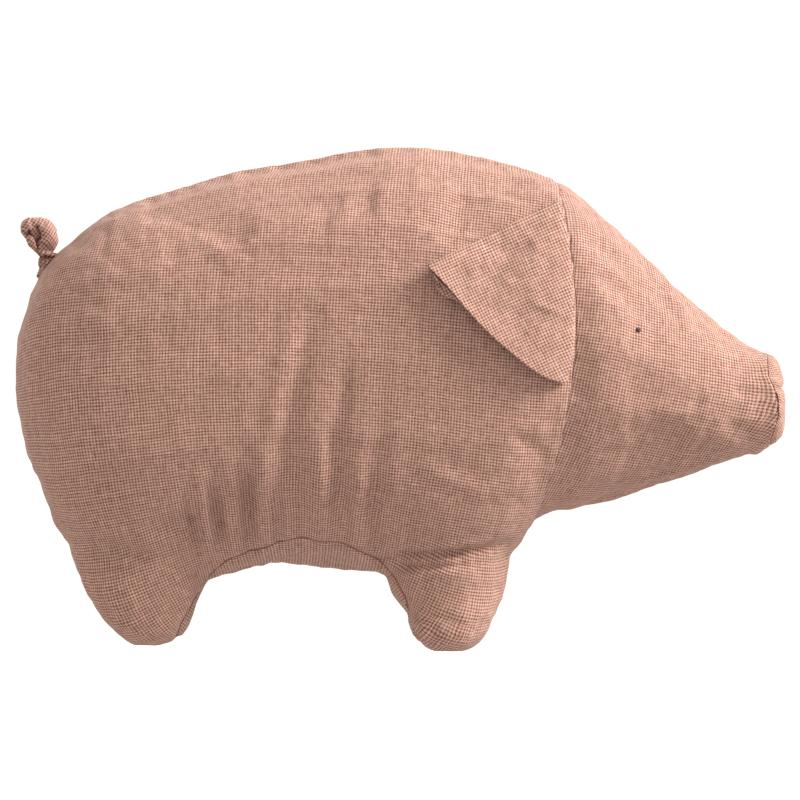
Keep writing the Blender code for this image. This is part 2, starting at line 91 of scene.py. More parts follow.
# %% Camera
LENS_MM = 1200
SENSOR_MM = 36
VIEW_WIDTH = 0.52
VIEW_MIDDLE = (-0.0006, 0.1631)
VIEW_ROLL = math.radians(1.13)
CAMERA_HEIGHT = 0.001


def placed(name, data):
    """A new object that holds this data, in the scene."""
    obj = bpy.data.objects.new(name, data)
    bpy.context.scene.collection.objects.link(obj)
    return obj


camera = placed("camera", bpy.data.cameras.new("camera"))
camera.data.lens = LENS_MM
camera.data.sensor_width = SENSOR_MM
view_distance = VIEW_WIDTH * LENS_MM / SENSOR_MM
look_up = math.asin((VIEW_MIDDLE[1] - CAMERA_HEIGHT) / view_distance)
stand = Matrix.Translation((VIEW_MIDDLE[0], -view_distance * math.cos(look_up), CAMERA_HEIGHT))
level = Matrix.Rotation(math.pi / 2 + look_up, 4, "X")
camera.matrix_world = stand @ level @ Matrix.Rotation(VIEW_ROLL, 4, "Z")
bpy.context.scene.camera = camera
print("camera stands", round(-camera.location.y, 2), "m away")

# %% [markdown]
# ## Studio
# A finish is a tree of shader nodes. The class below adds a node, sets it and joins it in one line.
# The toy is seen on white. A wide pale floor under a white sky gives that from every side, and the
# sky is also the soft light that reaches into the shadows. The main light comes from above and from
# the head's side: it only grazes the flank, so the rump and belly fall into shade and every fold
# shows. It is a sun with a wide disc, so its shadows have soft edges. A weak one from behind lights
# the far side. The floor throws no light back up, which keeps the belly dark.

# %% Helpers for finishes
def colour(red, green, blue):
    """A screen colour from 0 to 255 as the plain light values that a shader takes."""
    found = []
    for value in (red / 255, green / 255, blue / 255):
        found.append(value / 12.92 if value < 0.04045 else ((value + 0.055) / 1.055) ** 2.4)
    return (*found, 1.0)


def toned(tint, share):
    """A colour made lighter or darker by a share."""
    return tuple(min(1.0, value * share) for value in tint[:3]) + (1.0,)


class Finish:
    """A new material, and short ways to add shader nodes to it and feed them."""

    def __init__(self, name, roughness):
        self.material = bpy.data.materials.new(name)
        self.material.use_nodes = True
        self.tree = self.material.node_tree
        self.shader = self.tree.nodes["Principled BSDF"]
        self.feed(self.shader, {"Roughness": roughness})

    def feed(self, node, sources):
        """Gives a node's inputs, by name or number, plain values or other nodes' outputs."""
        for key, source in sources.items():
            if isinstance(source, (int, float, tuple)):
                node.inputs[key].default_value = source
            else:
                self.tree.links.new(source, node.inputs[key])

    def add(self, kind, sources, output=0, **settings):
        """Adds a node and hands over one of its outputs."""
        node = self.tree.nodes.new(kind)
        for key, value in settings.items():
            setattr(node, key, value)
        self.feed(node, sources)
        return node.outputs[output]

    def calc(self, operation, *values):
        return self.add("ShaderNodeMath", dict(enumerate(values)), operation=operation)

    def between(self, value, low, high):
        return self.calc("MINIMUM", self.calc("MAXIMUM", value, low), high)

    def noise(self, vector, scale, detail, roughness=0.5, output=0):
        sources = {"Vector": vector, "Scale": scale, "Detail": detail, "Roughness": roughness}
        return self.add("ShaderNodeTexNoise", sources, output)

    def streaks(self, vector, scale, length):
        """Noise drawn out along both ways of the weave, added up."""
        found = []
        for stretch in ((1.0, length, 1.0), (length, 1.0, 1.0)):
            drawn = self.add("ShaderNodeMapping", {"Vector": vector, "Scale": stretch})
            found.append(self.noise(drawn, scale, 1.0))
        return self.calc("ADD", *found)

    def mix(self, share, first, second):
        return self.add("ShaderNodeMix", {0: share, 6: first, 7: second}, 2, data_type="RGBA")

    def relief(self, height, strength, distance, **under):
        """A bumpy surface, on top of another one if there is one."""
        sources = {"Strength": strength, "Distance": distance, "Height": height, **under}
        return self.add("ShaderNodeBump", sources)

    def done(self, tint, surface):
        """Joins the colour and the surface, and hands the material over."""
        self.feed(self.shader, {"Base Color": tint, "Normal": surface})
        return self.material


def painted(name, tint, roughness, grain, scale, bumps=0.0002):
    """A finish of one colour whose tone and surface are a little uneven."""
    finish = Finish(name, roughness)
    uneven = finish.noise(finish.add("ShaderNodeTexCoord", {}, "Object"), scale, 4.0)
    shades = finish.mix(uneven, toned(tint, 1 - grain), toned(tint, 1 + grain))
    return finish.done(shades, finish.relief(uneven, 0.5, bumps))


# %% Helpers for objects
def only(obj):
    """Selects one object and nothing else, as a click on it would."""
    bpy.ops.object.select_all(action="DESELECT")
    obj.select_set(True)
    bpy.context.view_layer.objects.active = obj
    return obj


def primitive(kind, name, **settings):
    """Adds one of Blender's basic shapes under a name."""
    bpy.ops.object.select_all(action="DESELECT")
    getattr(bpy.ops.mesh, f"primitive_{kind}_add")(**settings)
    made = bpy.context.object
    made.name = made.data.name = name
    return made


def edit_all(obj, operator, **settings):
    """Runs one operator of edit mode on the whole of an object."""
    only(obj)
    bpy.ops.object.mode_set(mode="EDIT")
    bpy.ops.mesh.select_all(action="SELECT")
    operator(**settings)
    bpy.ops.object.mode_set(mode="OBJECT")


# %% Floor
FLOOR_RADIUS = 40.0
FLOOR_SIDES = 64
FLOOR_INSET = 36.0

pale = painted("pale_floor", colour(240, 239, 237), roughness=0.9, grain=0.01, scale=3.0)
studio = primitive(
    "circle", "studio_floor", vertices=FLOOR_SIDES, radius=FLOOR_RADIUS, fill_type="NGON"
)
edit_all(studio, bpy.ops.mesh.inset, thickness=FLOOR_INSET)
studio.data.materials.append(pale)
studio.visible_diffuse = False
studio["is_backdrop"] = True
print("floor", FLOOR_RADIUS * 2, "m wide")

# %% Light
SUNS = (
    # name, power, width of the disc in degrees, where it comes from
    ("soft_sun", 7.25, 24, (0.80, -0.155, 0.58)),
    ("weak_sun_behind", 1.5, 40, (-0.35, 0.80, 0.49)),
)
SKY_STRENGTH = 1.06
SKY_COLOUR = (1.0, 0.985, 0.95, 1.0)

for name, power, wide, comes_from in SUNS:
    light = bpy.data.lights.new(name, "SUN")
    light.energy = power
    light.angle = math.radians(wide)
    sun = placed(name, light)
    sun.rotation_mode = "QUATERNION"
    sun.rotation_quaternion = Vector(comes_from).to_track_quat("Z", "Y")
sky = bpy.data.worlds.new("white_sky")
bpy.context.scene.world = sky
sky.use_nodes = True
sky.node_tree.nodes["Background"].inputs["Color"].default_value = SKY_COLOUR
sky.node_tree.nodes["Background"].inputs["Strength"].default_value = SKY_STRENGTH
bpy.context.scene.view_settings.view_transform = "Standard"
print(len(SUNS), "suns and sky", SKY_STRENGTH)

# %% [markdown]
# ## The check cloth
# The cloth is a plain weave with a check so small that it reads as grain from a step away. A light
# and a dark yarn take turns in both directions: where two dark yarns cross there is a dark spot,
# where two light ones cross a pale spot. The pattern is drawn on the cloth's own flat map, kept in
# metres, so the check has its real size and follows each panel as woven cloth does. A little noise
# bends the rows, because no hand-sewn panel stays straight.

# %% The cloth's finish
CHECK_REPEAT = 0.00195
YARN_PITCH = CHECK_REPEAT / 4
LIGHT_YARN = colour(184, 151, 136)
DARK_YARN = colour(105, 56, 42)
# Colour of the dark line at seams, also used as painted shade along marked creases.
DARK_SEAM_AND_CREASE_SHADE = colour(96, 46, 36)
SEAM_AND_CREASE_FADE = {"From Min": 0.0002, "From Max": 0.0014}
CLOTH_ROUGHNESS = 0.92
CLOTH_SHINE = {"Specular IOR Level": 0.12, "Sheen Weight": 0.05, "Sheen Roughness": 0.6}
ROW_BENDS = (
    # waves per metre, detail, reach
    (22.0, 1.0, 0.0030),
    (420.0, 0.0, 0.00044),
)
BAND_EDGE = 0.62
YARN_OVER = 0.45
SLUB_SCALE, SLUB_LENGTH, SLUB_TONE, SLUB_RELIEF = 1500.0, 0.09, 0.70, 0.25
ROW_SCALE, ROW_LENGTH, ROW_TONE = 620.0, 0.010, 0.42
CLOUD_SCALE, CLOUD_DETAIL, CLOUD_TONE = 26.0, 3.0, 0.16
CRUMPLES = (160.0, 3.0, 0.6)  # waves per metre, detail, roughness
YARN_RELIEF = (0.45, 0.00022)  # strength, height
CRUMPLE_RELIEF = (0.5, 0.0009)


def check_cloth(name, turn=0.0, tone=1.0, seam_dark_and_crease_shade=0.45):
    """A finish of small-check cloth, its rows turned and its colour made lighter or darker."""
    cloth = Finish(name, CLOTH_ROUGHNESS)
    cloth.feed(cloth.shader, CLOTH_SHINE)
    flat = cloth.add("ShaderNodeUVMap", {}, uv_map="flat_cloth")
    rows = cloth.add("ShaderNodeMapping", {"Vector": flat, "Rotation": (0, 0, turn)})

    # Rows wander slowly over a hand's width and a little from yarn to yarn.
    bent = rows
    for waves, detail, reach in ROW_BENDS:
        sources = {0: cloth.noise(rows, waves, detail, output="Color"), 1: (0.5, 0.5, 0.5)}
        centred = cloth.add("ShaderNodeVectorMath", sources, operation="SUBTRACT")
        sources = {0: centred, 1: (reach, reach, 0.0), 2: bent}
        bent = cloth.add("ShaderNodeVectorMath", sources, operation="MULTIPLY_ADD")
    ways = cloth.add("ShaderNodeSeparateXYZ", {0: bent}).node.outputs[:2]

    # Yarn colours: half of each repeat is dark, with a soft border.
    bands = []
    for way in ways:
        wave = cloth.calc("SINE", cloth.calc("MULTIPLY", way, 2 * math.pi / CHECK_REPEAT))
        bands.append(cloth.between(cloth.calc("MULTIPLY_ADD", wave, BAND_EDGE, 0.5), 0.0, 1.0))

    # Which yarn lies on top changes from crossing to crossing.
    waves = [cloth.calc("SINE", cloth.calc("MULTIPLY", way, math.pi / YARN_PITCH)) for way in ways]
    crossing = cloth.calc("MULTIPLY", *waves)
    over = cloth.calc("MULTIPLY_ADD", crossing, YARN_OVER, 0.5)
    shade = cloth.add("ShaderNodeMix", {0: over, 2: bands[0], 3: bands[1]}, data_type="FLOAT")

    # Thick and thin places of single yarns.
    slub = cloth.streaks(bent, SLUB_SCALE, SLUB_LENGTH)
    uneven = cloth.calc("MULTIPLY_ADD", cloth.calc("SUBTRACT", slub, 1.0), SLUB_TONE, shade)
    share = cloth.between(uneven, 0.0, 1.0)
    woven = cloth.mix(share, toned(DARK_YARN, tone), toned(LIGHT_YARN, tone))

    # Soft clouds of tone from washing and handling, and whole rows that are paler or darker.
    cloud = cloth.noise(flat, CLOUD_SCALE, CLOUD_DETAIL)
    clouded = cloth.calc("MULTIPLY_ADD", cloud, CLOUD_TONE, 1 - CLOUD_TONE / 2)
    streaks = cloth.streaks(bent, ROW_SCALE, ROW_LENGTH)
    faded = cloth.calc("ADD", clouded, cloth.calc("MULTIPLY_ADD", streaks, ROW_TONE, -ROW_TONE))
    washed = cloth.add("ShaderNodeVectorMath", {0: woven, "Scale": faded}, operation="SCALE")

    # Sewn lines and creases: a narrow dark line where the cloth turns in at a seam,
    # and painted shade along the creases that are marked the same way.
    seam = cloth.add("ShaderNodeAttribute", {}, "Fac", attribute_name="seam_or_shaded_crease_distance")
    sources = {"Value": seam, "To Min": seam_dark_and_crease_shade, "To Max": 0.0, **SEAM_AND_CREASE_FADE}
    near = cloth.add("ShaderNodeMapRange", sources, interpolation_type="SMOOTHSTEP")
    final = cloth.mix(near, washed, DARK_SEAM_AND_CREASE_SHADE)

    # Relief: yarns, slubs and fine crumples.
    yarns = cloth.calc("MULTIPLY_ADD", slub, SLUB_RELIEF, cloth.calc("ABSOLUTE", crossing))
    crumple = cloth.noise(flat, *CRUMPLES)
    fine = cloth.relief(yarns, *YARN_RELIEF)
    return cloth.done(final, cloth.relief(crumple, *CRUMPLE_RELIEF, Normal=fine))


# Body and tail get stronger dark lines; along their creases these are painted shade.
body_cloth = check_cloth("check_cloth_body", seam_dark_and_crease_shade=0.65)
head_cloth = check_cloth("check_cloth_head", turn=math.radians(9))
ear_cloth = check_cloth("check_cloth_ear", turn=math.radians(-25), tone=0.97)
snout_cloth = check_cloth("check_cloth_snout", turn=math.radians(12))
tail_cloth = check_cloth("check_cloth_tail", turn=math.radians(35), tone=0.96, seam_dark_and_crease_shade=0.8)
print("check repeats every", CHECK_REPEAT * 1000, "mm")

# %% [markdown]
# ## One stuffed form for the trunk
# Body, legs and head hold one filling, and the panels are stretched round it. The way to get a
# believable stuffed skin is to let Blender's cloth do what the stuffing does: the solids are
# joined, their surface is rebuilt with even small faces, and air pressure blows the cloth out while
# the seams hold it in.

# %% The joined solids with even faces
VOXEL = 0.0038
SKIN_NODES = (
    "right_body_panel", "left_body_panel", "belly_gusset", "rear_leg_cover", "front_leg_cover",
    "body_filling", "rear_leg_filling", "front_leg_filling", "right_head_panel",
    "left_head_panel", "head_filling",
)


def joined(objects):
    """Joins objects into the last of them."""
    bpy.ops.object.select_all(action="DESELECT")
    for obj in objects:
        obj.select_set(True)
    bpy.context.view_layer.objects.active = objects[-1]
    if len(objects) > 1:
        bpy.ops.object.join()
    return objects[-1]


def joined_copy(name, nodes, voxel, more=()):
    """One closed mesh round copies of these nodes and more bodies, rebuilt with even faces."""
    twins = [placed(f"{name}_{node}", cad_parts[node].data.copy()) for node in nodes]
    made = joined([*more, *twins])
    made.name = made.data.name = name
    made.data.remesh_voxel_size = voxel
    bpy.ops.object.voxel_remesh()
    made.data.materials.clear()
    keep_largest(made)
    return made


def keep_largest(obj):
    """Drops all but the largest connected part of a mesh."""
    shape = bmesh.new()
    shape.from_mesh(obj.data)
    left = set(shape.verts)
    parts = []
    while left:
        start = left.pop()
        part, edge_of_part = {start}, [start]
        while edge_of_part:
            vertex = edge_of_part.pop()
            for edge in vertex.link_edges:
                other = edge.other_vert(vertex)
                if other not in part:
                    part.add(other)
                    edge_of_part.append(other)
        left -= part
        parts.append(part)
    parts.sort(key=len)
    for part in parts[:-1]:
        bmesh.ops.delete(shape, geom=list(part), context="VERTS")
    shape.to_mesh(obj.data)
    shape.free()


skin = joined_copy("skin", SKIN_NODES, VOXEL)
print("stuffed form has", len(skin.data.polygons), "faces")

# %% [markdown]
# ## Where the seams run
# Three kinds of seam shape this toy: one round the middle from snout to tail and back under the
# feet, the bowed one at the neck, and the one round the belly strip. Each is written as a number
# that is zero on the seam. The mesh is then cut where the number is zero, so the seams become
# edges of the mesh and can be pinned, pulled in and split later.

# %% Seam numbers
NECK_TOP = (0.0980, 0.3080)
NECK_LOW = (0.0885, 0.0869)
NECK_BOW = 0.0184
STRIP_LINE = (
    (0.0240, -0.0100), (0.0175, 0.0055), (0.0091, 0.0209), (0.0052, 0.0359), (-0.0002, 0.0461),
    (-0.0069, 0.0533), (-0.0148, 0.0594), (-0.0235, 0.0638), (-0.0377, 0.0687),
    (-0.0601, 0.0709), (-0.0702, 0.0697), (-0.0883, 0.0648), (-0.1090, 0.0569),
    (-0.1218, 0.0463), (-0.1312, 0.0305), (-0.1400, 0.0130), (-0.1480, -0.0100),
)
NOSE_LOW, NOSE_HIGH = (np.array(corner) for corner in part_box("snout"))
NOSE_MIDDLE = (NOSE_LOW + NOSE_HIGH) / 2
STRIP_LOW, STRIP_RISE, STRIP_HALF = 0.004, 0.030, 0.045
NOSE_LEAN = 0.0367
STRIP_X = [x for x, _ in reversed(STRIP_LINE)]
STRIP_Z = [z for _, z in reversed(STRIP_LINE)]


def neck_number(point):
    """Above zero on the head, below zero on the body."""
    middle = (NECK_TOP[1] + NECK_LOW[1]) / 2
    up = (point[2] - middle) / (NECK_TOP[1] - middle)
    straight = (NECK_TOP[0] + NECK_LOW[0]) / 2 + (NECK_TOP[0] - NECK_LOW[0]) / 2 * up
    return point[0] - straight - NECK_BOW * max(0.0, 1 - up * up)


def strip_number(point):
    """Above zero on the belly strip: under its side-view line, and a point at each foot."""
    x, y, z = point
    away = 1.0
    for (ax, az), (bx, bz) in zip(STRIP_LINE[:-1], STRIP_LINE[1:]):
        along, up = bx - ax, bz - az
        share = ((x - ax) * along + (z - az) * up) / (along * along + up * up)
        share = min(1.0, max(0.0, share))
        away = min(away, math.hypot(x - ax - share * along, z - az - share * up))
    under = STRIP_X[0] < x < STRIP_X[-1] and z < np.interp(x, STRIP_X, STRIP_Z)
    above = z - STRIP_LOW
    wide = STRIP_HALF * math.sqrt(above / STRIP_RISE) if above > 0 else above
    return min(away if under else -away, wide - abs(y))


def middle_number(point):
    """Below zero on the right side, above zero on the left."""
    return point[1]


# %% Soften the joints between the solids
LEG_TOP = 0.074
LEG_BLEND = 0.024
NECK_BLEND = 0.011
ARCH_SPAN = (-0.155, 0.032)
ARCH_HALF = 0.030
SOFTEN_TIMES = 26


def joint_share(point):
    """From 0 to 1, how near a point is to a leg's top or to the neck."""
    in_arch = ARCH_SPAN[0] < point[0] < ARCH_SPAN[1]
    outside = min(1.0, abs(point[1]) / ARCH_HALF) if in_arch else 1.0
    at_leg = math.exp(-(((point[2] - LEG_TOP) / LEG_BLEND) ** 2)) * outside
    at_neck = math.exp(-((neck_number(point) / NECK_BLEND) ** 2))
    return max(at_leg, at_neck)


def add_modifier(obj, kind, **settings):
    """Adds a modifier with these settings and applies it."""
    modifier = obj.modifiers.new(kind.lower(), kind)
    for key, value in settings.items():
        setattr(modifier, key, value)
    only(obj)
    bpy.ops.object.modifier_apply(modifier=modifier.name)


joints = skin.vertex_groups.new(name="joints")
for vertex in skin.data.vertices:
    joints.add([vertex.index], joint_share(vertex.co), "REPLACE")
add_modifier(skin, "SMOOTH", factor=0.5, iterations=SOFTEN_TIMES, vertex_group="joints")
skin.vertex_groups.clear()
print("joints smoothed", SOFTEN_TIMES, "times")

# %% Cut the mesh along the seams
SNAP_SHARE = 0.28
TOO_SHORT = 1e-5


def cut_where_zero(shape, number):
    """Moves near vertices onto a seam and splits the faces that it still crosses."""
    value = {v: number(v.co) for v in shape.verts}
    moves = {}
    for edge in shape.edges:
        a, b = edge.verts
        if value[a] * value[b] < 0:
            share = value[a] / (value[a] - value[b])
            for vertex, other, part in ((a, b, share), (b, a, 1 - share)):
                if part < SNAP_SHARE and part < moves.get(vertex, (1.0,))[0]:
                    moves[vertex] = (part, vertex.co.lerp(other.co, part))
    for vertex, (_, place) in moves.items():
        vertex.co = place
        value[vertex] = 0.0
    for edge in list(shape.edges):
        a, b = edge.verts
        if value[a] * value[b] < 0:
            share = value[a] / (value[a] - value[b])
            _, fresh = bmesh.utils.edge_split(edge, a, share)
            value[fresh] = 0.0
    for face in list(shape.faces):
        on_seam = [v for v in face.verts if value[v] == 0.0]
        if len(on_seam) < 2:
            continue
        signs = {value[v] > 0 for v in face.verts if value[v] != 0.0}
        if len(signs) < 2:
            continue
        for a, b in combinations(on_seam, 2):
            if not any(b in e.verts for e in a.link_edges):
                try:
                    bmesh.utils.face_split(face, a, b)
                    break
                except ValueError:
                    continue


RIGHT_SIDE, LEFT_SIDE, STRIP, RIGHT_HEAD, LEFT_HEAD = range(5)


def panel_of(point):
    """Which panel a point of the skin lies on."""
    if neck_number(point) > 0:
        return RIGHT_HEAD if point[1] < 0 else LEFT_HEAD
    if strip_number(point) > 0:
        return STRIP
    return RIGHT_SIDE if point[1] < 0 else LEFT_SIDE


shape = bmesh.new()
shape.from_mesh(skin.data)
for number in (middle_number, neck_number, strip_number):
    cut_where_zero(shape, number)
bmesh.ops.dissolve_degenerate(shape, edges=shape.edges[:], dist=TOO_SHORT)
panel_layer = shape.faces.layers.int.new("panel")
for face in shape.faces:
    face[panel_layer] = panel_of(face.calc_center_median())
for edge in shape.edges:
    edge.seam = len(edge.link_faces) == 2 and (
        edge.link_faces[0][panel_layer] != edge.link_faces[1][panel_layer]
    )
shape.to_mesh(skin.data)
panel_counts = [sum(f[panel_layer] == p for f in shape.faces) for p in range(5)]
shape.free()
print("faces per panel", panel_counts)

# %% [markdown]
# ## Stuffing it
# The seams are the stiffest lines of a sewn toy, so they are pinned. The cloth between them is
# cut a little large, by one or two parts in a hundred, and the pressure inside pushes it out into
# shallow folds that run across the seams. No point may move far, so the pig keeps its outline.
# From here on a mesh's points are often read as rows of numbers, moved and written back.

# %% Points as rows of numbers
def read(items, field, width=3):
    """One row of numbers for each item of a mesh."""
    found = np.zeros(len(items) * width)
    items.foreach_get(field, found)
    return found.reshape(-1, width)


def points_of(obj):
    return read(obj.data.vertices, "co")


def normals_of(obj):
    return read(obj.data.vertices, "normal")


def set_points(obj, points):
    obj.data.vertices.foreach_set("co", points.ravel())
    obj.data.update()


# %% Blow up the cloth
STUFF_STEPS = 20
CLOTH_SLACK = 0.015
CLOTH_SETTINGS = {
    "quality": 5,
    "mass": 0.2,
    "tension_stiffness": 25,
    "compression_stiffness": 25,
    "shear_stiffness": 8,
    "bending_stiffness": 0.3,
    "use_pressure": True,
    "uniform_pressure_force": 4.0,
    "shrink_min": -CLOTH_SLACK,
    "shrink_max": -CLOTH_SLACK,
    "vertex_group_mass": "sewn",
}
FURTHEST_MOVE = 0.0035
NOSE_PINNED = 0.005
NECK_SMOOTH = 8


def stuff(obj, pinned):
    """Runs the cloth on a mesh and keeps its result, with every move capped."""
    group = obj.vertex_groups.new(name="sewn")
    for index in pinned:
        group.add([index], 1.0, "REPLACE")
    cloth = obj.modifiers.new("stuffing", "CLOTH")
    for key, value in CLOTH_SETTINGS.items():
        setattr(cloth.settings, key, value)
    cloth.settings.effector_weights.gravity = 0
    cloth.point_cache.frame_start = 1
    cloth.point_cache.frame_end = STUFF_STEPS
    for step in range(1, STUFF_STEPS + 1):
        bpy.context.scene.frame_set(step)
    start = points_of(obj)
    result = obj.evaluated_get(bpy.context.evaluated_depsgraph_get()).data
    move = read(result.vertices, "co") - start
    obj.modifiers.remove(cloth)
    obj.vertex_groups.clear()
    bpy.context.scene.frame_set(1)
    far = np.linalg.norm(move, axis=1)
    share = np.minimum(1.0, FURTHEST_MOVE / np.maximum(far, 1e-9))
    set_points(obj, start + move * share[:, None])
    print("cloth moved", round(float(far.max()) * 1000, 2), "mm at most before the cap")


before = points_of(skin)
sewn = {v for e in skin.data.edges if e.use_seam for v in e.vertices}
sewn |= {v.index for v in skin.data.vertices if v.co.x > NOSE_LOW[0] - NOSE_PINNED}
stuff(skin, sewn)
at_neck = skin.vertex_groups.new(name="neck")
for vertex in skin.data.vertices:
    at_neck.add([vertex.index], math.exp(-((neck_number(vertex.co) / NECK_BLEND) ** 2)), "REPLACE")
add_modifier(skin, "SMOOTH", factor=0.5, iterations=NECK_SMOOTH, vertex_group="neck")
skin.vertex_groups.clear()
moved = np.linalg.norm(points_of(skin) - before, axis=1)
print("mean move", round(float(moved.mean()) * 1000, 2), "mm")

# %% [markdown]
# ## Laying the cloth flat
# A weave has to run over each panel as it does on flat cloth. Unwrapping along the seams gives the
# flat pattern pieces. Each is then turned until its rows run level, and scaled until its area is
# the real one, so that one unit of the map is one metre of cloth.

# %% Flat pattern pieces
ISLAND_STEP = 0.7


def fresh_map(mesh):
    """Takes a mesh's flat maps away and gives it an empty one."""
    while mesh.uv_layers:
        mesh.uv_layers.remove(mesh.uv_layers[0])
    return mesh.uv_layers.new(name="flat_cloth")


def flatten(obj, islands):
    """Unwraps a mesh along its seams, and lays each island level and in metres."""
    fresh_map(obj.data)
    edit_all(obj, bpy.ops.uv.unwrap, method="MINIMUM_STRETCH", margin=0.0)
    mesh = obj.data
    flat = read(mesh.uv_layers[0].data, "uv", 2)
    place = points_of(obj)
    corner = np.zeros(len(mesh.loops), int)
    mesh.loops.foreach_get("vertex_index", corner)
    panel = np.array([d.value for d in mesh.attributes["panel"].data])
    areas = {}
    for number, (name, axes) in enumerate(islands):
        faces = [p for p in mesh.polygons if panel[p.index] == number]
        loops = np.array([i for p in faces for i in p.loop_indices])
        real = sum(p.area for p in faces)
        drawn = 0.0
        for p in faces:
            ring = flat[list(p.loop_indices)]
            x, y = ring[:, 0], ring[:, 1]
            drawn += abs(np.dot(x, np.roll(y, -1)) - np.dot(y, np.roll(x, -1))) / 2
        mine = flat[loops] - flat[loops].mean(axis=0)
        mine = (mine[:, 0] + 1j * mine[:, 1]) * math.sqrt(real / drawn)
        aim = place[corner[loops]] @ np.array(axes, float).T
        aim = (aim[:, 0] - aim[:, 0].mean()) + 1j * (aim[:, 1] - aim[:, 1].mean())
        spin = np.sum(np.conj(mine) * aim)
        mine *= spin / abs(spin)
        low = complex(mine.real.min(), mine.imag.min())
        size = (float(np.ptp(mine.real)), float(np.ptp(mine.imag)))
        mine -= low - number * ISLAND_STEP
        flat[loops] = np.column_stack([mine.real, mine.imag])
        areas[name] = (size, float(real))
    mesh.uv_layers[0].data.foreach_set("uv", flat.ravel())
    return areas


LEVEL = ((1, 0, 0), (0, 0, 1))
MIRRORED = ((-1, 0, 0), (0, 0, 1))
UNDER = ((1, 0, 0), (0, -1, 0))
PANELS = (
    ("right_side", LEVEL),
    ("left_side", MIRRORED),
    ("belly_strip", UNDER),
    ("right_head", LEVEL),
    ("left_head", MIRRORED),
)
flat_sizes = flatten(skin, PANELS)
for name, (size, area) in flat_sizes.items():
    print(name, "lies flat in", [round(s, 3) for s in size], "m,", round(area, 4), "m2")

# %% Finer faces
add_modifier(skin, "SUBSURF", levels=1)
print("skin has", len(skin.data.polygons), "faces")

# %% [markdown]
# ## Folds and puckers
# The cloth of this pig hangs in long soft valleys from the back to the belly, it creases over the
# tops of the legs, and it puckers at every seam, because the seam's thread is shorter than the
# cloth. The valleys are drawn as lines in side view. Each one pushes the skin in along its line and
# lets it swell a little on both sides. A row with a depth below zero is a ridge. At a seam the skin
# is pulled in, and small waves run away from it at right angles. The legs are stuffed harder than
# the rest, so a broad cushion rounds the outer face of each.

# %% Folds as lines in side view
RIGHT_FOLDS = (
    # points (x, z), depth, half width
    (
        ((-0.0588, 0.2146), (-0.0689, 0.1643), (-0.0747, 0.1337), (-0.0689, 0.1026),
         (-0.0625, 0.0708)),
        0.0024, 0.0062,
    ),
    (((-0.0349, 0.1904), (-0.0411, 0.1402), (-0.0406, 0.1155), (-0.0361, 0.0844)), 0.0022, 0.0055),
    (((-0.0126, 0.1472), (-0.0143, 0.1037), (-0.0154, 0.0913)), 0.0017, 0.0050),
    (((-0.0901, 0.1516), (-0.0885, 0.1392)), 0.0010, 0.0050),
    (
        ((-0.0128, 0.0588), (0.0024, 0.0617), (0.0209, 0.0621), (0.0398, 0.0638),
         (0.0566, 0.0673), (0.0702, 0.0715)),
        0.0040, 0.0026,
    ),
    (((-0.0089, 0.0576), (0.0081, 0.0553), (0.0276, 0.0557), (0.0418, 0.0573)), 0.0034, 0.0022),
    (((-0.0040, 0.0450), (0.0200, 0.0480), (0.0450, 0.0510), (0.0620, 0.0560)), -0.0026, 0.0085),
    (((-0.1355, 0.0930), (-0.1295, 0.0600)), 0.0028, 0.0028),
    (((-0.1206, 0.1010), (-0.1138, 0.0660)), 0.0030, 0.0029),
    (((-0.0996, 0.1100), (-0.0955, 0.0660)), 0.0030, 0.0031),
    (((-0.0785, 0.1060), (-0.0770, 0.0680)), 0.0026, 0.0030),
    (((-0.0180, 0.0960), (-0.0120, 0.0640)), 0.0022, 0.0030),
    (((-0.1290, 0.1080), (-0.1225, 0.0620)), -0.0032, 0.0050),
    (((-0.1100, 0.1180), (-0.1050, 0.0640)), -0.0036, 0.0054),
    (((-0.0890, 0.1220), (-0.0865, 0.0660)), -0.0034, 0.0058),
    (((-0.0510, 0.1300), (-0.0490, 0.0680)), -0.0032, 0.0064),
    (((-0.0270, 0.1180), (-0.0240, 0.0640)), -0.0026, 0.0058),
    (((-0.1850, 0.0640), (-0.1640, 0.0600), (-0.1450, 0.0640)), 0.0009, 0.0032),
    (((0.2121, 0.1582), (0.2208, 0.1460)), 0.0012, 0.0060),
    (((0.1522, 0.1947), (0.1531, 0.1531)), 0.0010, 0.0080),
    (((0.0113, 0.1217), (0.0317, 0.1117), (0.0526, 0.1050)), -0.0014, 0.0050),
)
LEFT_FOLDS = (
    (((-0.0900, 0.2300), (-0.0840, 0.1800), (-0.0880, 0.1350), (-0.0810, 0.0860)), 0.0018, 0.0062),
    (((-0.0450, 0.2050), (-0.0390, 0.1550), (-0.0440, 0.1000)), 0.0015, 0.0055),
    (((0.0050, 0.1600), (0.0010, 0.1100), (-0.0040, 0.0850)), 0.0012, 0.0050),
    (((-0.1500, 0.1900), (-0.1540, 0.1500)), 0.0010, 0.0055),
    (((-0.0060, 0.0640), (0.0150, 0.0600), (0.0380, 0.0610)), 0.0013, 0.0032),
    (((-0.1960, 0.0800), (-0.1700, 0.0760), (-0.1450, 0.0800)), 0.0012, 0.0034),
    (((0.0200, 0.1180), (0.0430, 0.1100), (0.0640, 0.1120)), -0.0013, 0.0050),
    (((0.1700, 0.1800), (0.1780, 0.1500)), 0.0010, 0.0070),
)


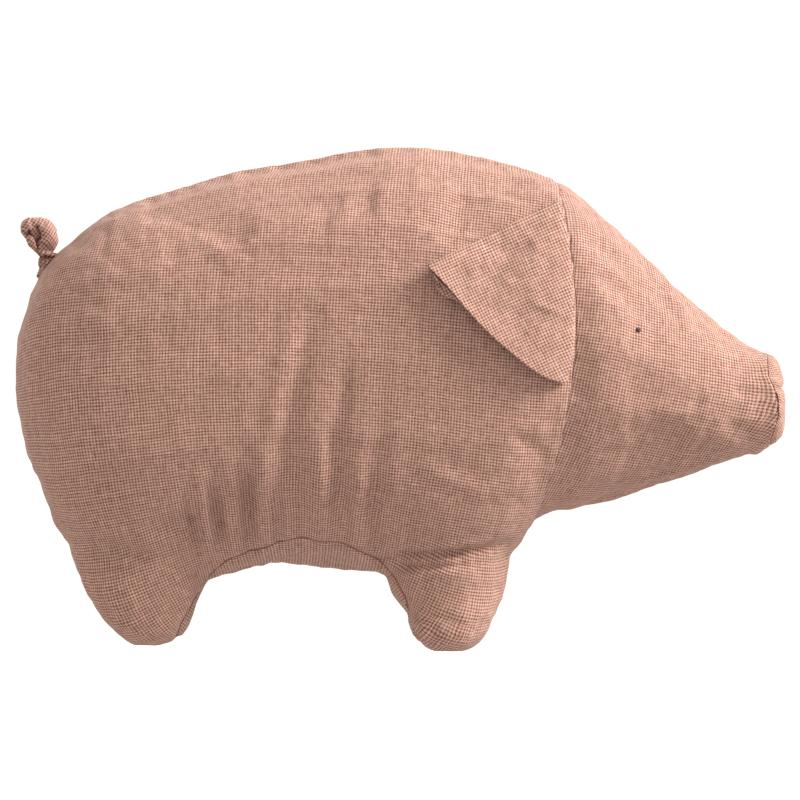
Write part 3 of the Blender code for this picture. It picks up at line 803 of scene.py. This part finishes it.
def away_from_line(points, line):
    """How far each side-view point is from a line of straight pieces, and its share along it."""
    nearest = np.full(len(points), 1e9)
    share = np.zeros(len(points))
    pieces = np.array(line, float)
    lengths = np.linalg.norm(np.diff(pieces, axis=0), axis=1)
    total = lengths.sum()
    done = 0.0
    for a, b, length in zip(pieces[:-1], pieces[1:], lengths):
        t = np.clip(((points - a) @ (b - a)) / length**2, 0, 1)
        off = np.linalg.norm(points - (a + t[:, None] * (b - a)), axis=1)
        closer = off < nearest
        nearest = np.where(closer, off, nearest)
        share = np.where(closer, (done + t * length) / total, share)
        done += length
    return nearest, share


FOLD_ENDS = (0.04, 0.96)
FOLD_SWELL = 0.35


def bell(off, half, high=1.0):
    """A soft bump: high in the middle, and nearly nothing two half widths off."""
    return high * np.exp(-((off / half) ** 2))


def fold_depth(points, folds):
    """How far the skin goes in at each side-view point."""
    depth = np.zeros(len(points))
    for line, deep, half in folds:
        off, share = away_from_line(points, line)
        ends = np.sin(np.pi * np.clip(share, *FOLD_ENDS)) ** 0.5
        depth += bell(off, half, deep * ends)
        depth -= bell(off - 2.0 * half, half, FOLD_SWELL * deep * ends)
    return depth


# %% Work on the skin's points
SEAMS = {
    # depth of the groove, size of the puckers' waves, how far off its dark line begins
    "neck": (0.0001, 0.0070, 0.0013),
    "middle": (0.0006, 0.0085, 0.0007),
    "strip": (0.0010, 0.0060, 0.0),
}
SEAM_STEPS = (0.0, 0.25, 0.5, 0.75, 1.0)
GROOVE_REACH = 0.0026
PUCKER_HEIGHT = 0.0011
PUCKER_REACH = 0.011
PUCKER_FROM = 0.003
NECK_RIDGE_AT = 0.0042
NECK_RIDGE = (0.0022, 0.0004)  # half width, height
RIBS = (0.0009, 0.0055, 4.4, (1.0, 0.2, 0.25))
RIBS_FROM = 0.0015
SKIN_WAVES = (
    # height, size, shift, stretch
    (0.0004, 0.013, 7.7, (1.0, 1.0, 0.38)),
    (0.0003, 0.009, 1.3),
)
PUCKER_SHIFT = 3.1
FLANK = (1.6, -0.25)  # times how much a point faces the side, and what is added
FLOOR_LEVEL = 0.0002
# Creases over the front leg that get painted shade, and how far off it begins.
SHADED_LEG_CREASES = (4, 5)
LEG_CREASE_SHADE_FROM = 0.0006
LEG_CUSHIONS = (
    # middle in side view, height, half width
    ((0.0250, 0.0130), 0.0076, 0.0240),
    ((-0.1880, 0.0160), 0.0046, 0.0240),
)

mesh = skin.data
place, outward = points_of(skin), normals_of(skin)
panel = np.array([d.value for d in mesh.attributes["panel"].data])
sides_of_edge = {}
for polygon in mesh.polygons:
    for key in polygon.edge_keys:
        sides_of_edge.setdefault(key, set()).add(panel[polygon.index])
seam_edges = {key: found for key, found in sides_of_edge.items() if len(found) > 1}

HEADS = {RIGHT_HEAD, LEFT_HEAD}


def kind_of(found):
    """Which kind of seam parts these panels."""
    if STRIP in found:
        return "strip"
    if len(found & HEADS) == 1:
        return "neck"
    return "middle"


seam_points = {kind: [] for kind in SEAMS}
for (a, b), found in seam_edges.items():
    for share in SEAM_STEPS:
        seam_points[kind_of(found)].append(place[a] * (1 - share) + place[b] * share)


def nearest_on(points, targets):
    """For each point the nearest target and how far it is."""
    tree = KDTree(len(targets))
    for i, target in enumerate(targets):
        tree.insert(target, i)
    tree.balance()
    found = [tree.find(p) for p in points]
    return np.array([f[0][:] for f in found]), np.array([f[2] for f in found])


reach = {kind: nearest_on(place, targets) for kind, targets in seam_points.items()}
print("seam points", {kind: len(targets) for kind, targets in seam_points.items()})

# %% The nose end
NOSE_WARP_FROM = 0.020
NOSE_SEAM = (
    # height, how far ahead of the solid's joint the seam lies there
    (0.1400, 0.0010), (0.1444, 0.0020), (0.1516, 0.0046), (0.1582, 0.0070),
    (0.1699, 0.0064), (0.1750, 0.0040), (0.1827, 0.0004), (0.1931, 0.0000),
)
NOSE_FLARE = 0.085
RIM_REACH = 0.0065
NOSE_SHORT = 0.0016
SHORT_REACH = 0.010
NOSE_TOUCH = 0.00005
HEAD_GATHERS = 23
GATHER_SIZE, GATHER_FADE, GATHER_REACH = 0.018, 0.004, 0.02
CHIN_X, CHIN_Z, CHIN_SIZE, CHIN_DROP = 0.2310, 0.1385, 0.0055, 0.0048
SNOUT_FADE = 0.0003


def joint_x(points):
    """Where the snout's flat back meets the head: the joint leans a little."""
    return NOSE_LOW[0] + NOSE_LEAN * (NOSE_HIGH[2] - points[:, 2])


def nose_warp(points):
    """Moves both sides of the snout's joint ahead by the same rule, so that its seam bends."""
    heights, ahead = zip(*NOSE_SEAM)
    shift = np.interp(points[:, 2], heights, ahead)
    joint = joint_x(points)
    before = np.clip((points[:, 0] - joint + NOSE_WARP_FROM) / NOSE_WARP_FROM, 0, 1) ** 2
    after = np.clip((NOSE_HIGH[0] - points[:, 0]) / (NOSE_HIGH[0] - joint), 0, 1)
    weight = np.where(points[:, 0] < joint, before, after)
    found = points.copy()
    found[:, 0] += shift * weight
    return found


def nose_rim(points, away):
    """Widens a rim that the remeshing has rounded off, the more the nearer it is to the seam."""
    wide = 1 + NOSE_FLARE * np.clip(1 - away / RIM_REACH, 0, 1) ** 2
    spread = points.copy()
    spread[:, 1:] = NOSE_MIDDLE[1:] + (points[:, 1:] - NOSE_MIDDLE[1:]) * wide[:, None]
    return spread


def meet(points, way):
    """Brings the head (way 1) or the snout (way -1) to a twentieth of a millimetre from the joint."""
    away = np.clip((joint_x(points) - points[:, 0]) * way, 0, None)
    found = points.copy()
    found[:, 0] += way * NOSE_SHORT * np.clip(1 - away / SHORT_REACH, 0, 1)
    over = (found[:, 0] - joint_x(found)) * way + NOSE_TOUCH
    found[:, 0] -= way * np.clip(over, 0, None)
    return found, away


def shape_nose(points):
    """Widens, gathers and bends the head cloth where the snout is sewn on, and drops the chin."""
    found, away = meet(points, 1)
    found = nose_rim(found, away)
    angle = np.arctan2(points[:, 1] - NOSE_MIDDLE[1], points[:, 2] - NOSE_MIDDLE[2])
    gather = GATHER_SIZE * np.cos(angle * HEAD_GATHERS) * np.exp(-away / GATHER_FADE)
    gather *= away < GATHER_REACH
    found[:, 1:] += (found[:, 1:] - NOSE_MIDDLE[1:]) * gather[:, None]
    off = (found[:, 0] - CHIN_X) ** 2 + found[:, 1] ** 2 / 4 + (found[:, 2] - CHIN_Z) ** 2
    found[:, 2] -= CHIN_DROP * np.exp(-off / CHIN_SIZE**2)
    return nose_warp(found), away + SNOUT_FADE


print("snout joins at x", round(float(NOSE_LOW[0]), 4), "ends at", round(float(NOSE_HIGH[0]), 4))

# %% Seams pulled in, puckers and folds
def ripple(points, size, shift, stretch=(1.0, 1.0, 1.0)):
    """Smooth noise from -1 to 1 with waves of about this size."""
    apart = Vector((shift, shift, shift))
    return np.array([noise.noise(Vector(p) / size + apart) for p in points * np.array(stretch)])


def ripples(points, rows):
    """The sum of ripples whose rows begin with their height."""
    return sum(height * ripple(points, *wave) for height, *wave in rows)


def mark_seams_and_shaded_creases(obj, distances):
    """Keeps each point's distance from a seam, or a crease with painted shade, for the finish."""
    held = obj.data.attributes.new("seam_or_shaded_crease_distance", "FLOAT", "POINT")
    held.data.foreach_set("value", np.asarray(distances, np.float32))


inward = np.zeros(len(place))
for kind, (groove, size, _) in SEAMS.items():
    near_point, off = reach[kind]
    inward += bell(off, GROOVE_REACH, groove)
    waves = PUCKER_HEIGHT * ripple(near_point, size, PUCKER_SHIFT)
    inward += waves * np.exp(-off / PUCKER_REACH) * (1 - bell(off, PUCKER_FROM))
on_body = np.array([neck_number(p) < 0 for p in place])
inward -= bell(reach["neck"][1] - NECK_RIDGE_AT, *NECK_RIDGE) * on_body
side_view = place[:, [0, 2]]
flank = np.clip(np.abs(outward[:, 1]) * FLANK[0] + FLANK[1], 0, 1)
right, left = (fold_depth(side_view, folds) for folds in (RIGHT_FOLDS, LEFT_FOLDS))
inward += np.where(place[:, 1] < 0, right, left) * flank
for middle_at, high_up, half in LEG_CUSHIONS:
    off = np.linalg.norm(side_view - np.array(middle_at), axis=1)
    inward -= bell(off, half, high_up) * flank
on_strip = np.array([strip_number(p) > RIBS_FROM for p in place])
inward += ripples(place, [RIBS]) * on_strip
inward += ripples(place, SKIN_WAVES)
place -= outward * inward[:, None]
place[:, 2] = np.maximum(place[:, 2], FLOOR_LEVEL)
place, snout_seam = shape_nose(place)
set_points(skin, place)
seam_and_shaded_crease_lines = [off + SEAMS[kind][2] for kind, (_, off) in reach.items()] + [snout_seam]
# The creases over the front leg are darkened too: painted shade in the crease.
for row in SHADED_LEG_CREASES:
    off, _ = away_from_line(place[:, [0, 2]], RIGHT_FOLDS[row][0])
    seam_and_shaded_crease_lines.append(off + LEG_CREASE_SHADE_FROM)
mark_seams_and_shaded_creases(skin, np.min(seam_and_shaded_crease_lines, axis=0))
faces = [list(p.vertices) for p in mesh.polygons]
skin_tree = BVHTree.FromPolygons([Vector(p) for p in place], faces)
deepest, highest = (round(float(v) * 1000, 2) for v in (inward.max(), -inward.min()))
print("deepest", deepest, "mm in,", highest, "mm out")

# %% [markdown]
# ## Cutting the skin into its panels
# The finished skin is split along its seams into five pieces of cloth, as it was sewn. Each gets
# the cloth's thickness inwards, so its outer face stays where it is. The whole skin, still closed
# and drawn in a little, becomes the filling that they are stretched round.

# %% Panels
CLOTH_THICKNESS = 0.0011
FILLING_DEPTH = 0.0015


def finished(obj, finish):
    """Gives an object one finish and smooth faces."""
    obj.data.materials.clear()
    obj.data.materials.append(finish)
    only(obj)
    bpy.ops.object.shade_smooth()
    return obj


def panel_piece(name, number, finish):
    """One panel of the skin as a piece of cloth with a thickness."""
    piece = placed(name, skin.data.copy())
    shape = bmesh.new()
    shape.from_mesh(piece.data)
    layer = shape.faces.layers.int["panel"]
    others = [f for f in shape.faces if f[layer] != number]
    bmesh.ops.delete(shape, geom=others, context="FACES")
    shape.to_mesh(piece.data)
    shape.free()
    piece.data.name = name
    add_modifier(piece, "SOLIDIFY", thickness=CLOTH_THICKNESS, offset=-1.0)
    return finished(piece, finish)


REPLACED = {
    "right_side": ("right_body_panel", "rear_leg_cover", "front_leg_cover"),
    "left_side": ("left_body_panel", "rear_leg_cover", "front_leg_cover"),
    "belly_strip": ("belly_gusset",),
    "right_head": ("right_head_panel",),
    "left_head": ("left_head_panel",),
}
panels = {}
for number, (name, _) in enumerate(PANELS):
    cloth = head_cloth if number in HEADS else body_cloth
    panels[name] = panel_piece(name, number, cloth)
    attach(panels[name], "pig")
    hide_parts(*REPLACED[name])
    print(name, len(panels[name].data.polygons), "faces")

# %% Filling
FIBRE = {"roughness": 1.0, "grain": 0.06, "scale": 260.0, "bumps": 0.0006}

fibre = painted("soft_fibre_fill", colour(238, 234, 226), **FIBRE)
filling = skin
filling.name = filling.data.name = "filling"
set_points(filling, points_of(filling) - normals_of(filling) * FILLING_DEPTH)
filling.data.materials.append(fibre)
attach(filling, "pig")
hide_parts("body_filling", "head_filling", "rear_leg_filling", "front_leg_filling")
print("filling", len(filling.data.polygons), "faces")

# %% [markdown]
# ## Tools for the other pieces
# The ears lie on the stuffed skin, so their distance from the body is measured by a ray shot at it
# from the side. The pieces below have no seams to unwrap along. Each gets its flat map from a rule
# that takes a point of the piece to a point of the cloth.

# %% Side rays and flat maps
RAY_FROM = 0.2
LEAST_FACING = 0.5


def side_depth(x, z, side):
    """How far out the skin is at a place in side view, and how much it faces the side."""
    start = Vector((x, side * RAY_FROM, z))
    hit, normal, _, _ = skin_tree.ray_cast(start, Vector((0, -side, 0)))
    if hit is None:
        return 0.0, 1.0
    return abs(hit.y), max(abs(normal.y), LEAST_FACING)


def draw_flat(obj, rule):
    """Gives a mesh its flat map in metres from a rule for its points."""
    layer = fresh_map(obj.data)
    drawn = [rule(v.co) for v in obj.data.vertices]
    for loop in obj.data.loops:
        layer.data[loop.index].uv = drawn[loop.vertex_index]


# %% [markdown]
# ## Ears
# An ear is a triangle of two layers, sewn round its edge, turned, and caught in the neck seam. It
# hangs back over the shoulder, and its free edge and tip stand off the body. A flat grid is the
# natural start: one way runs from the seam to the tip, the other from the low corner to the top.
# The edges follow the lines of the real ear, small noise gives the soft crumples, and a few short
# ridges are its creases. The lining is bunched in small pleats near the tip.

# %% Ear outline
EAR_TOP_EDGE = (
    (0.0996, 0.2938), (0.0815, 0.2850), (0.0622, 0.2748),
    (0.0430, 0.2641), (0.0269, 0.2559), (0.0146, 0.2505),
)
EAR_FREE_EDGE = (
    (0.1071, 0.1750), (0.0980, 0.1754), (0.0888, 0.1798), (0.0730, 0.1925), (0.0571, 0.2052),
    (0.0425, 0.2205), (0.0332, 0.2320), (0.0239, 0.2422), (0.0146, 0.2505),
)
EAR_ROOT_BOW, ROOT_POWER = 0.0066, 3
EAR_REACH = 0.985
EAR_ALONG = 40
EAR_ACROSS = 44
EAR_CLOTH = 0.0008
EAR_CLEAR = 0.0007
EAR_LAYER_GAP = 0.0003
EAR_TIP_LIFT, TIP_POWER = 0.0085, 2.6
EAR_EDGE_LIFT, EDGE_POWER = 0.0074, 2.2
EDGE_SPAN, EDGE_START, EDGE_ROUND, EDGE_TIP_POWER = 0.85, 0.10, 0.7, 6
EAR_LEAST_LIFT = 0.0005
EAR_RIM_SCALE, EAR_RIM_FADE = 0.10, 0.0012
EAR_ROUNDING = 0.016
EAR_WAVES = ((0.0015, 0.016, 5.0), (0.0006, 0.007, 9.0))
WAVES_RISE, CREASES_RISE = 6, 12
EARS_APART = 0.3
PLEATS_AT, PLEATS_HALF, PLEATS_UP_TO = 0.86, 0.08, 0.6
PLEATS_DRAW_IN = (-0.0046, -0.0054)
PLEAT_HEIGHT, PLEAT_WIDTH = 0.0020, 0.0024
EAR_SEWN_SHARE = 0.10
EAR_CREASES = (
    # points (x, z), height, half width
    (((0.0852, 0.2262), (0.0969, 0.2223), (0.1060, 0.2180)), 0.0012, 0.0017),
    (((0.0774, 0.2749), (0.0852, 0.2658), (0.0904, 0.2502)), 0.0010, 0.0021),
    (((0.0930, 0.1995), (0.1050, 0.2034)), 0.0009, 0.0019),
    (((0.0640, 0.2440), (0.0720, 0.2370), (0.0830, 0.2400)), 0.0007, 0.0024),
)


LINE_STEPS = 400


def along_line(line, shares, rounding):
    """Points at these shares of a line's length, its corners rounded over a length."""
    line = np.array(line, float)
    steps = np.linalg.norm(np.diff(line, axis=0), axis=1)
    reach = np.concatenate([[0.0], np.cumsum(steps)]) / steps.sum()
    fine = np.linspace(0, 1, LINE_STEPS + 1)
    curve = np.column_stack([np.interp(fine, reach, line[:, i]) for i in range(line.shape[1])])
    half = int(rounding / steps.sum() * LINE_STEPS / 2)
    for _ in range(3):
        ahead = 2 * curve[0] - curve[half:0:-1]
        behind = 2 * curve[-1] - curve[-2 : -half - 2 : -1]
        padded = np.concatenate([ahead, curve, behind])
        summed = np.cumsum(np.concatenate([np.zeros((1, 2)), padded]), axis=0)
        curve = (summed[2 * half + 1 :] - summed[: -2 * half - 1]) / (2 * half + 1)
    return np.column_stack([np.interp(shares, fine, curve[:, i]) for i in range(2)])


def ear_layer(name, side, depth, sewn_in, pleats):
    """One layer of an ear, its outer face at a depth over the body."""
    ear = primitive("grid", name, x_subdivisions=EAR_ALONG, y_subdivisions=EAR_ACROSS, size=1)
    grid = points_of(ear)
    s, t = grid[:, 0] + 0.5, grid[:, 1] + 0.5
    low, high = (
        along_line(edge, s * EAR_REACH, EAR_ROUNDING) for edge in (EAR_FREE_EDGE, EAR_TOP_EDGE)
    )
    flat = low * (1 - t)[:, None] + high * t[:, None]
    flat[:, 0] += EAR_ROOT_BOW * (1 - np.abs(2 * t - 1) ** ROOT_POWER) * (1 - s) ** ROOT_POWER
    bunch = pleats * bell(s - PLEATS_AT, PLEATS_HALF) * np.clip(1 - t / PLEATS_UP_TO, 0, 1)
    flat += np.array(PLEATS_DRAW_IN) * bunch[:, None]

    # How far each point stands off the body.
    along_edge = np.sin(np.pi * np.clip(s * EDGE_SPAN + EDGE_START, 0, 1)) ** EDGE_ROUND
    lift = EAR_TIP_LIFT * s**TIP_POWER
    lift += EAR_EDGE_LIFT * (1 - t) ** EDGE_POWER * along_edge * (1 - s**EDGE_TIP_POWER)
    spots = np.column_stack([flat, np.full(len(s), EARS_APART * side)])
    lift += ripples(spots, EAR_WAVES) * np.minimum(1, s * WAVES_RISE)
    pleat = np.sin((flat[:, 0] + flat[:, 1]) / PLEAT_WIDTH * np.pi)
    lift -= PLEAT_HEIGHT * bunch * (1 + pleat)
    lift += fold_depth(flat, EAR_CREASES) * np.minimum(1, s * CREASES_RISE)
    lift = (lift + np.sqrt(lift**2 + EAR_LEAST_LIFT**2)) / 2
    root = np.clip(s / EAR_SEWN_SHARE, 0, 1)
    skin_y = np.zeros(len(s))
    for i, (x, z) in enumerate(flat):
        deep, facing = side_depth(x, z, side)
        skin_y[i] = deep + depth * root[i] / facing + (1 - root[i]) * sewn_in
    set_points(ear, np.column_stack([flat[:, 0], side * (skin_y + lift), flat[:, 1]]))
    if normals_of(ear)[:, 1].mean() * side < 0:
        edit_all(ear, bpy.ops.mesh.flip_normals)

    draw_flat(ear, lambda p: (p.x, p.z))
    mark_seams_and_shaded_creases(ear, np.minimum.reduce([t, 1 - t, 1 - s]) * EAR_RIM_SCALE + EAR_RIM_FADE)
    add_modifier(ear, "SUBSURF", levels=1)
    area = sum(p.area for p in ear.data.polygons)
    add_modifier(ear, "SOLIDIFY", thickness=EAR_CLOTH, offset=-1.0)
    return finished(ear, ear_cloth), area


LINING_DEPTH = EAR_CLEAR + EAR_CLOTH
OUTER_DEPTH = LINING_DEPTH + EAR_LAYER_GAP + EAR_CLOTH
EAR_LAYERS = (
    # name, depth, how deep its sewn edge is caught, pleats near the tip
    ("lining", LINING_DEPTH, 0.0001, 1.0),
    ("outer", OUTER_DEPTH, 0.0004, 0.0),
)

for side, word in ((-1, "right"), (1, "left")):
    for layer, *rest in EAR_LAYERS:
        ear, area = ear_layer(word + "_ear_" + layer + "_cloth", side, *rest)
        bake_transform(ear)
        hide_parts(word + "_ear_" + layer)
        print(ear.name, "is", round(area * 1e4, 1), "cm2")

# %% [markdown]
# ## Snout
# The snout is a small round of cloth, drawn up by its edge and stuffed. Its gathers run from the
# rim towards the middle, and one deep crease crosses it level, a third of the way down. The solid's
# surface is rebuilt with fine faces, and the gathers are waves round its axis.

# %% Snout
SNOUT_VOXEL = 0.0013
SNOUT_GATHERS = 17
SNOUT_GATHER = 0.00045
GATHER_AT, GATHER_HALF, GATHER_FROM_SEAM = 0.95, 0.3, 0.002
GATHER_WANDER, WANDER_FORWARD, WANDER_WAVES = 2.2, 0.3, (0.5, 2.0)
SNOUT_WAVES = ((0.0005, 0.009, 4.0),)
SNOUT_DIMPLE = (0.006, 0.0012)  # half width, depth
SNOUT_RIM_FADE, SNOUT_CREASE_SHADE_FROM, SNOUT_FADE_SCALE = 0.0002, 0.0005, 0.8
SNOUT_CREASE_Z = 0.1762
CREASE_SWAY, CREASE_SWAY_LENGTH = 0.0012, 0.008
CREASE_DEPTH, CREASE_HALF, CREASE_LENGTH = 0.0036, 0.0021, 0.030
CREASE_AT_SEAM = 0.35

snout = joined_copy("snout_round", ("snout",), SNOUT_VOXEL)
add_modifier(snout, "SUBSURF", levels=1)
points, from_seam = meet(points_of(snout), -1)
points = nose_rim(points, from_seam)
across, rise = (points[:, 1:] - NOSE_MIDDLE[1:]).T
radius = np.hypot(across, rise)
angle = np.arctan2(across, rise)
share = np.clip(radius / ((NOSE_HIGH[2] - NOSE_LOW[2]) / 2), 0, 1)
forward = np.clip((points[:, 0] - NOSE_LOW[0]) / (NOSE_HIGH[0] - NOSE_LOW[0]), 0, 1)
round_nose = np.column_stack([np.cos(angle), np.sin(angle), forward * WANDER_FORWARD])
wander = GATHER_WANDER * ripple(round_nose, *WANDER_WAVES)
gather = np.cos(angle * SNOUT_GATHERS + wander) * bell(share - GATHER_AT, GATHER_HALF)
gather *= np.clip(from_seam / GATHER_FROM_SEAM, 0, 1)
push = SNOUT_GATHER * gather + ripples(points, SNOUT_WAVES)
push -= bell(radius, *SNOUT_DIMPLE)
crease_off = points[:, 2] - (SNOUT_CREASE_Z + CREASE_SWAY * np.sin(across / CREASE_SWAY_LENGTH))
crease = bell(crease_off, CREASE_HALF, CREASE_DEPTH) * np.exp(-((across / CREASE_LENGTH) ** 4))
push -= crease * (CREASE_AT_SEAM + (1 - CREASE_AT_SEAM) * forward)
set_points(snout, nose_warp(points + normals_of(snout) * push[:, None]))


def snout_flat(p):
    """Points of the round laid flat: the way from its middle, with the depth of the rim added."""
    off = p.y - NOSE_MIDDLE[1], p.z - NOSE_MIDDLE[2]
    away = max(math.hypot(*off), 1e-6)
    laid = (away + NOSE_HIGH[0] - p.x) / away
    return (off[0] * laid, off[1] * laid)


draw_flat(snout, snout_flat)
# A dark line at the rim's seam, and painted shade along the crease.
at_rim = SNOUT_RIM_FADE + np.clip(from_seam, 0, None) * SNOUT_FADE_SCALE
snout_crease_shade = SNOUT_CREASE_SHADE_FROM + np.abs(crease_off) * SNOUT_FADE_SCALE
mark_seams_and_shaded_creases(snout, np.minimum(at_rim, snout_crease_shade))
finished(snout, snout_cloth)
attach(snout, "pig")
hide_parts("snout")
print("snout", len(snout.data.polygons), "faces")

# %% [markdown]
# ## Tail
# The tail is a thin tube, stuffed hard, drawn together by a gathered ring and tied over itself
# into a knot. The imported solid holds its path. Round lumps fill the knot out until it closes, and
# a ring and a short cone make its gathered foot. All of it is rebuilt as one surface with fine
# faces. Then deep folds are pressed in between the strands, and gathers run down the foot. The
# foot is sewn to the body.

# %% Tail
TAIL_VOXEL = 0.0009
TAIL_LUMPS = (
    # middle (x, y, z), half sizes, lean in side view in degrees
    ((-0.2318, 0.0, 0.2658), (0.0066, 0.0068, 0.0112), -16),
    ((-0.2440, 0.0, 0.2708), (0.0053, 0.0058, 0.0066), 20),
    ((-0.2405, -0.0012, 0.2615), (0.0040, 0.0046, 0.0068), -34),
    ((-0.2420, 0.0014, 0.2664), (0.0040, 0.0032, 0.0044), 0),
)
FOOT_LEAN = 10
TAIL_RING_AT = (-0.2309, 0.0, 0.2532)
TAIL_RING = dict(major_radius=0.0046, minor_radius=0.0016, major_segments=48, minor_segments=14)
TAIL_STEM_AT = (-0.2306, 0.0, 0.2455)
TAIL_STEM = dict(vertices=40, radius1=0.0064, radius2=0.0036, depth=0.0160)
STEM_TOP, STEM_BLEND = 0.2555, 0.002
STEM_GATHERS, STEM_GATHER_SIZE = 11, 0.0007
TAIL_WAVES = ((0.0004, 0.0050, 2.0),)
KNOT_WAVES = ((0.0005, 0.0026, 6.0, (1.0, 1.0, 0.5)),)
TAIL_FOLD = ((-0.2378, 0.2560), (-0.2373, 0.2657), (-0.2387, 0.2709))
TAIL_LOW_FOLD = ((-0.2464, 0.2655), (-0.2432, 0.2668), (-0.2400, 0.2650), (-0.2378, 0.2600))
TAIL_DIMPLE = (-0.2432, 0.2672)
DIMPLE_RADIUS = 0.0008
# half width and depth of each groove
FOLD_GROOVE, LOW_FOLD_GROOVE = (0.0010, 0.0023), (0.0010, 0.0021)
DIMPLE_GROOVE, RING_GROOVE = (0.0013, 0.0020), (0.0006, 0.0006)
TAIL_CREASE_SHADE_FROM = 0.0001
RING_EDGE = 0.0019
FOOT_TOP = 0.252
FOOT_STANDS = 0.0003
TAIL_SLANT = (0.5, 0.35)


def leaning(made, place_at, lean):
    """Puts a new shape in place, leaning in side view."""
    lean = Matrix.Rotation(math.radians(lean), 4, "Y")
    made.data.transform(Matrix.Translation(place_at) @ lean)
    return made


lumps = []
for number, (place_at, half_sizes, lean) in enumerate(TAIL_LUMPS):
    lump = primitive("uv_sphere", f"tail_lump_{number}", segments=32, ring_count=20, radius=1)
    lump.data.transform(Matrix.Diagonal((*half_sizes, 1)))
    lumps.append(leaning(lump, place_at, lean))
lumps.append(leaning(primitive("torus", "tail_ring", **TAIL_RING), TAIL_RING_AT, FOOT_LEAN))
lumps.append(leaning(primitive("cone", "tail_stem", **TAIL_STEM), TAIL_STEM_AT, FOOT_LEAN))

tail = joined_copy("tail_knot", ("tail",), TAIL_VOXEL, lumps)
add_modifier(tail, "SMOOTH", factor=0.5, iterations=2)
add_modifier(tail, "SUBSURF", levels=1)
points, out_way = points_of(tail), normals_of(tail)
side_view = points[:, [0, 2]]
round_stem = np.arctan2(points[:, 1], points[:, 0] - TAIL_RING_AT[0])
stem_share = np.clip((STEM_TOP - points[:, 2]) / STEM_BLEND, 0, 1)
push = STEM_GATHER_SIZE * np.cos(round_stem * STEM_GATHERS) * stem_share
push += ripples(points, KNOT_WAVES) * (1 - stem_share)
push += ripples(points, TAIL_WAVES)
fold_away, low_away = (away_from_line(side_view, line)[0] for line in (TAIL_FOLD, TAIL_LOW_FOLD))
dimple = np.linalg.norm(side_view - np.array(TAIL_DIMPLE), axis=1)
facing_side = np.clip(np.abs(out_way[:, 1]) * 2, 0, 1)
push -= (bell(fold_away, *FOLD_GROOVE) + bell(low_away, *LOW_FOLD_GROOVE)) * facing_side
push -= bell(dimple, *DIMPLE_GROOVE) * facing_side
ring_edge = np.abs(points[:, 2] - (TAIL_RING_AT[2] - RING_EDGE))
push -= bell(ring_edge, *RING_GROOVE)
points += out_way * push[:, None]
for i in np.where(points[:, 2] < FOOT_TOP)[0]:
    on_skin, facing, _, _ = skin_tree.find_nearest(Vector(points[i]))
    above = (Vector(points[i]) - on_skin).dot(facing)
    if above < FOOT_STANDS:
        points[i] = (Vector(points[i]) + facing * (FOOT_STANDS - above))[:]
set_points(tail, points)
draw_flat(tail, lambda p: (p.x + TAIL_SLANT[0] * p.y, p.z + TAIL_SLANT[1] * p.y))
# The bottoms of the folds, the dimple and the groove under the ring are darkened: painted shade.
tail_crease_shade = [fold_away, low_away, np.clip(dimple - DIMPLE_RADIUS, 0, None), ring_edge]
mark_seams_and_shaded_creases(tail, TAIL_CREASE_SHADE_FROM + np.minimum.reduce(tail_crease_shade))
finished(tail, tail_cloth)
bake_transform(tail)
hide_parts("tail")
print("tail", len(tail.data.polygons), "faces, top at", round(float(points[:, 2].max()), 4), "m")

# %% [markdown]
# ## Eyes
# Each eye is one knot of thick brown thread: the thread is wound a few times round the needle and
# pulled down, so it sits on the cloth as a small bun of turns. Three thin rings, tilted against
# each other, make the turns, and each is added, turned and put in its place.

# %% Eyes
KNOT_RADIUS = 0.00120
KNOT_THREAD = dict(minor_radius=0.00048, major_segments=28, minor_segments=12)
KNOT_STANDS = 0.0004
KNOT_TURNS = (
    # tilt and turn in degrees, how far out, share of the radius
    (14, 0, -0.00025, 1.0),
    (-18, 70, 0.00005, 0.86),
    (24, 150, 0.00035, 0.62),
)
THREAD = {"roughness": 0.55, "grain": 0.35, "scale": 2200.0, "bumps": 0.00015}

thread = painted("brown_thread_eye", colour(58, 30, 24), **THREAD)


def knot(name, side):
    """A bun of three thread turns on the side of the head."""
    low, high = (np.array(corner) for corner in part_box(name.replace("_knot", "")))
    middle, facing, _, _ = skin_tree.find_nearest(Vector((low + high) / 2))
    facing = facing if facing.y * side > 0 else -facing
    middle += facing * KNOT_STANDS
    face = facing.to_track_quat("Z", "Y").to_matrix().to_4x4()
    rings = []
    for tilt, turn, rise, wide in KNOT_TURNS:
        ring = primitive("torus", name, major_radius=KNOT_RADIUS * wide, **KNOT_THREAD)
        turned = Matrix.Rotation(math.radians(turn), 4, "Z")
        tilted = Matrix.Rotation(math.radians(tilt), 4, "X")
        place = Matrix.Translation(middle + facing * rise)
        ring.data.transform(place @ face @ (turned @ tilted))
        rings.append(ring)
    made = finished(joined(rings[::-1]), thread)
    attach(made, "pig")
    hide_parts(name.replace("_knot", ""))
    return made


for word, side in (("right", -1), ("left", 1)):
    print(knot(word + "_eye_knot", side).name, "on the head")

# %% Keep the sizes
size = {"cad": cad_box, "visual": [list(corner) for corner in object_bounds()]}
print("visual box", size["visual"])
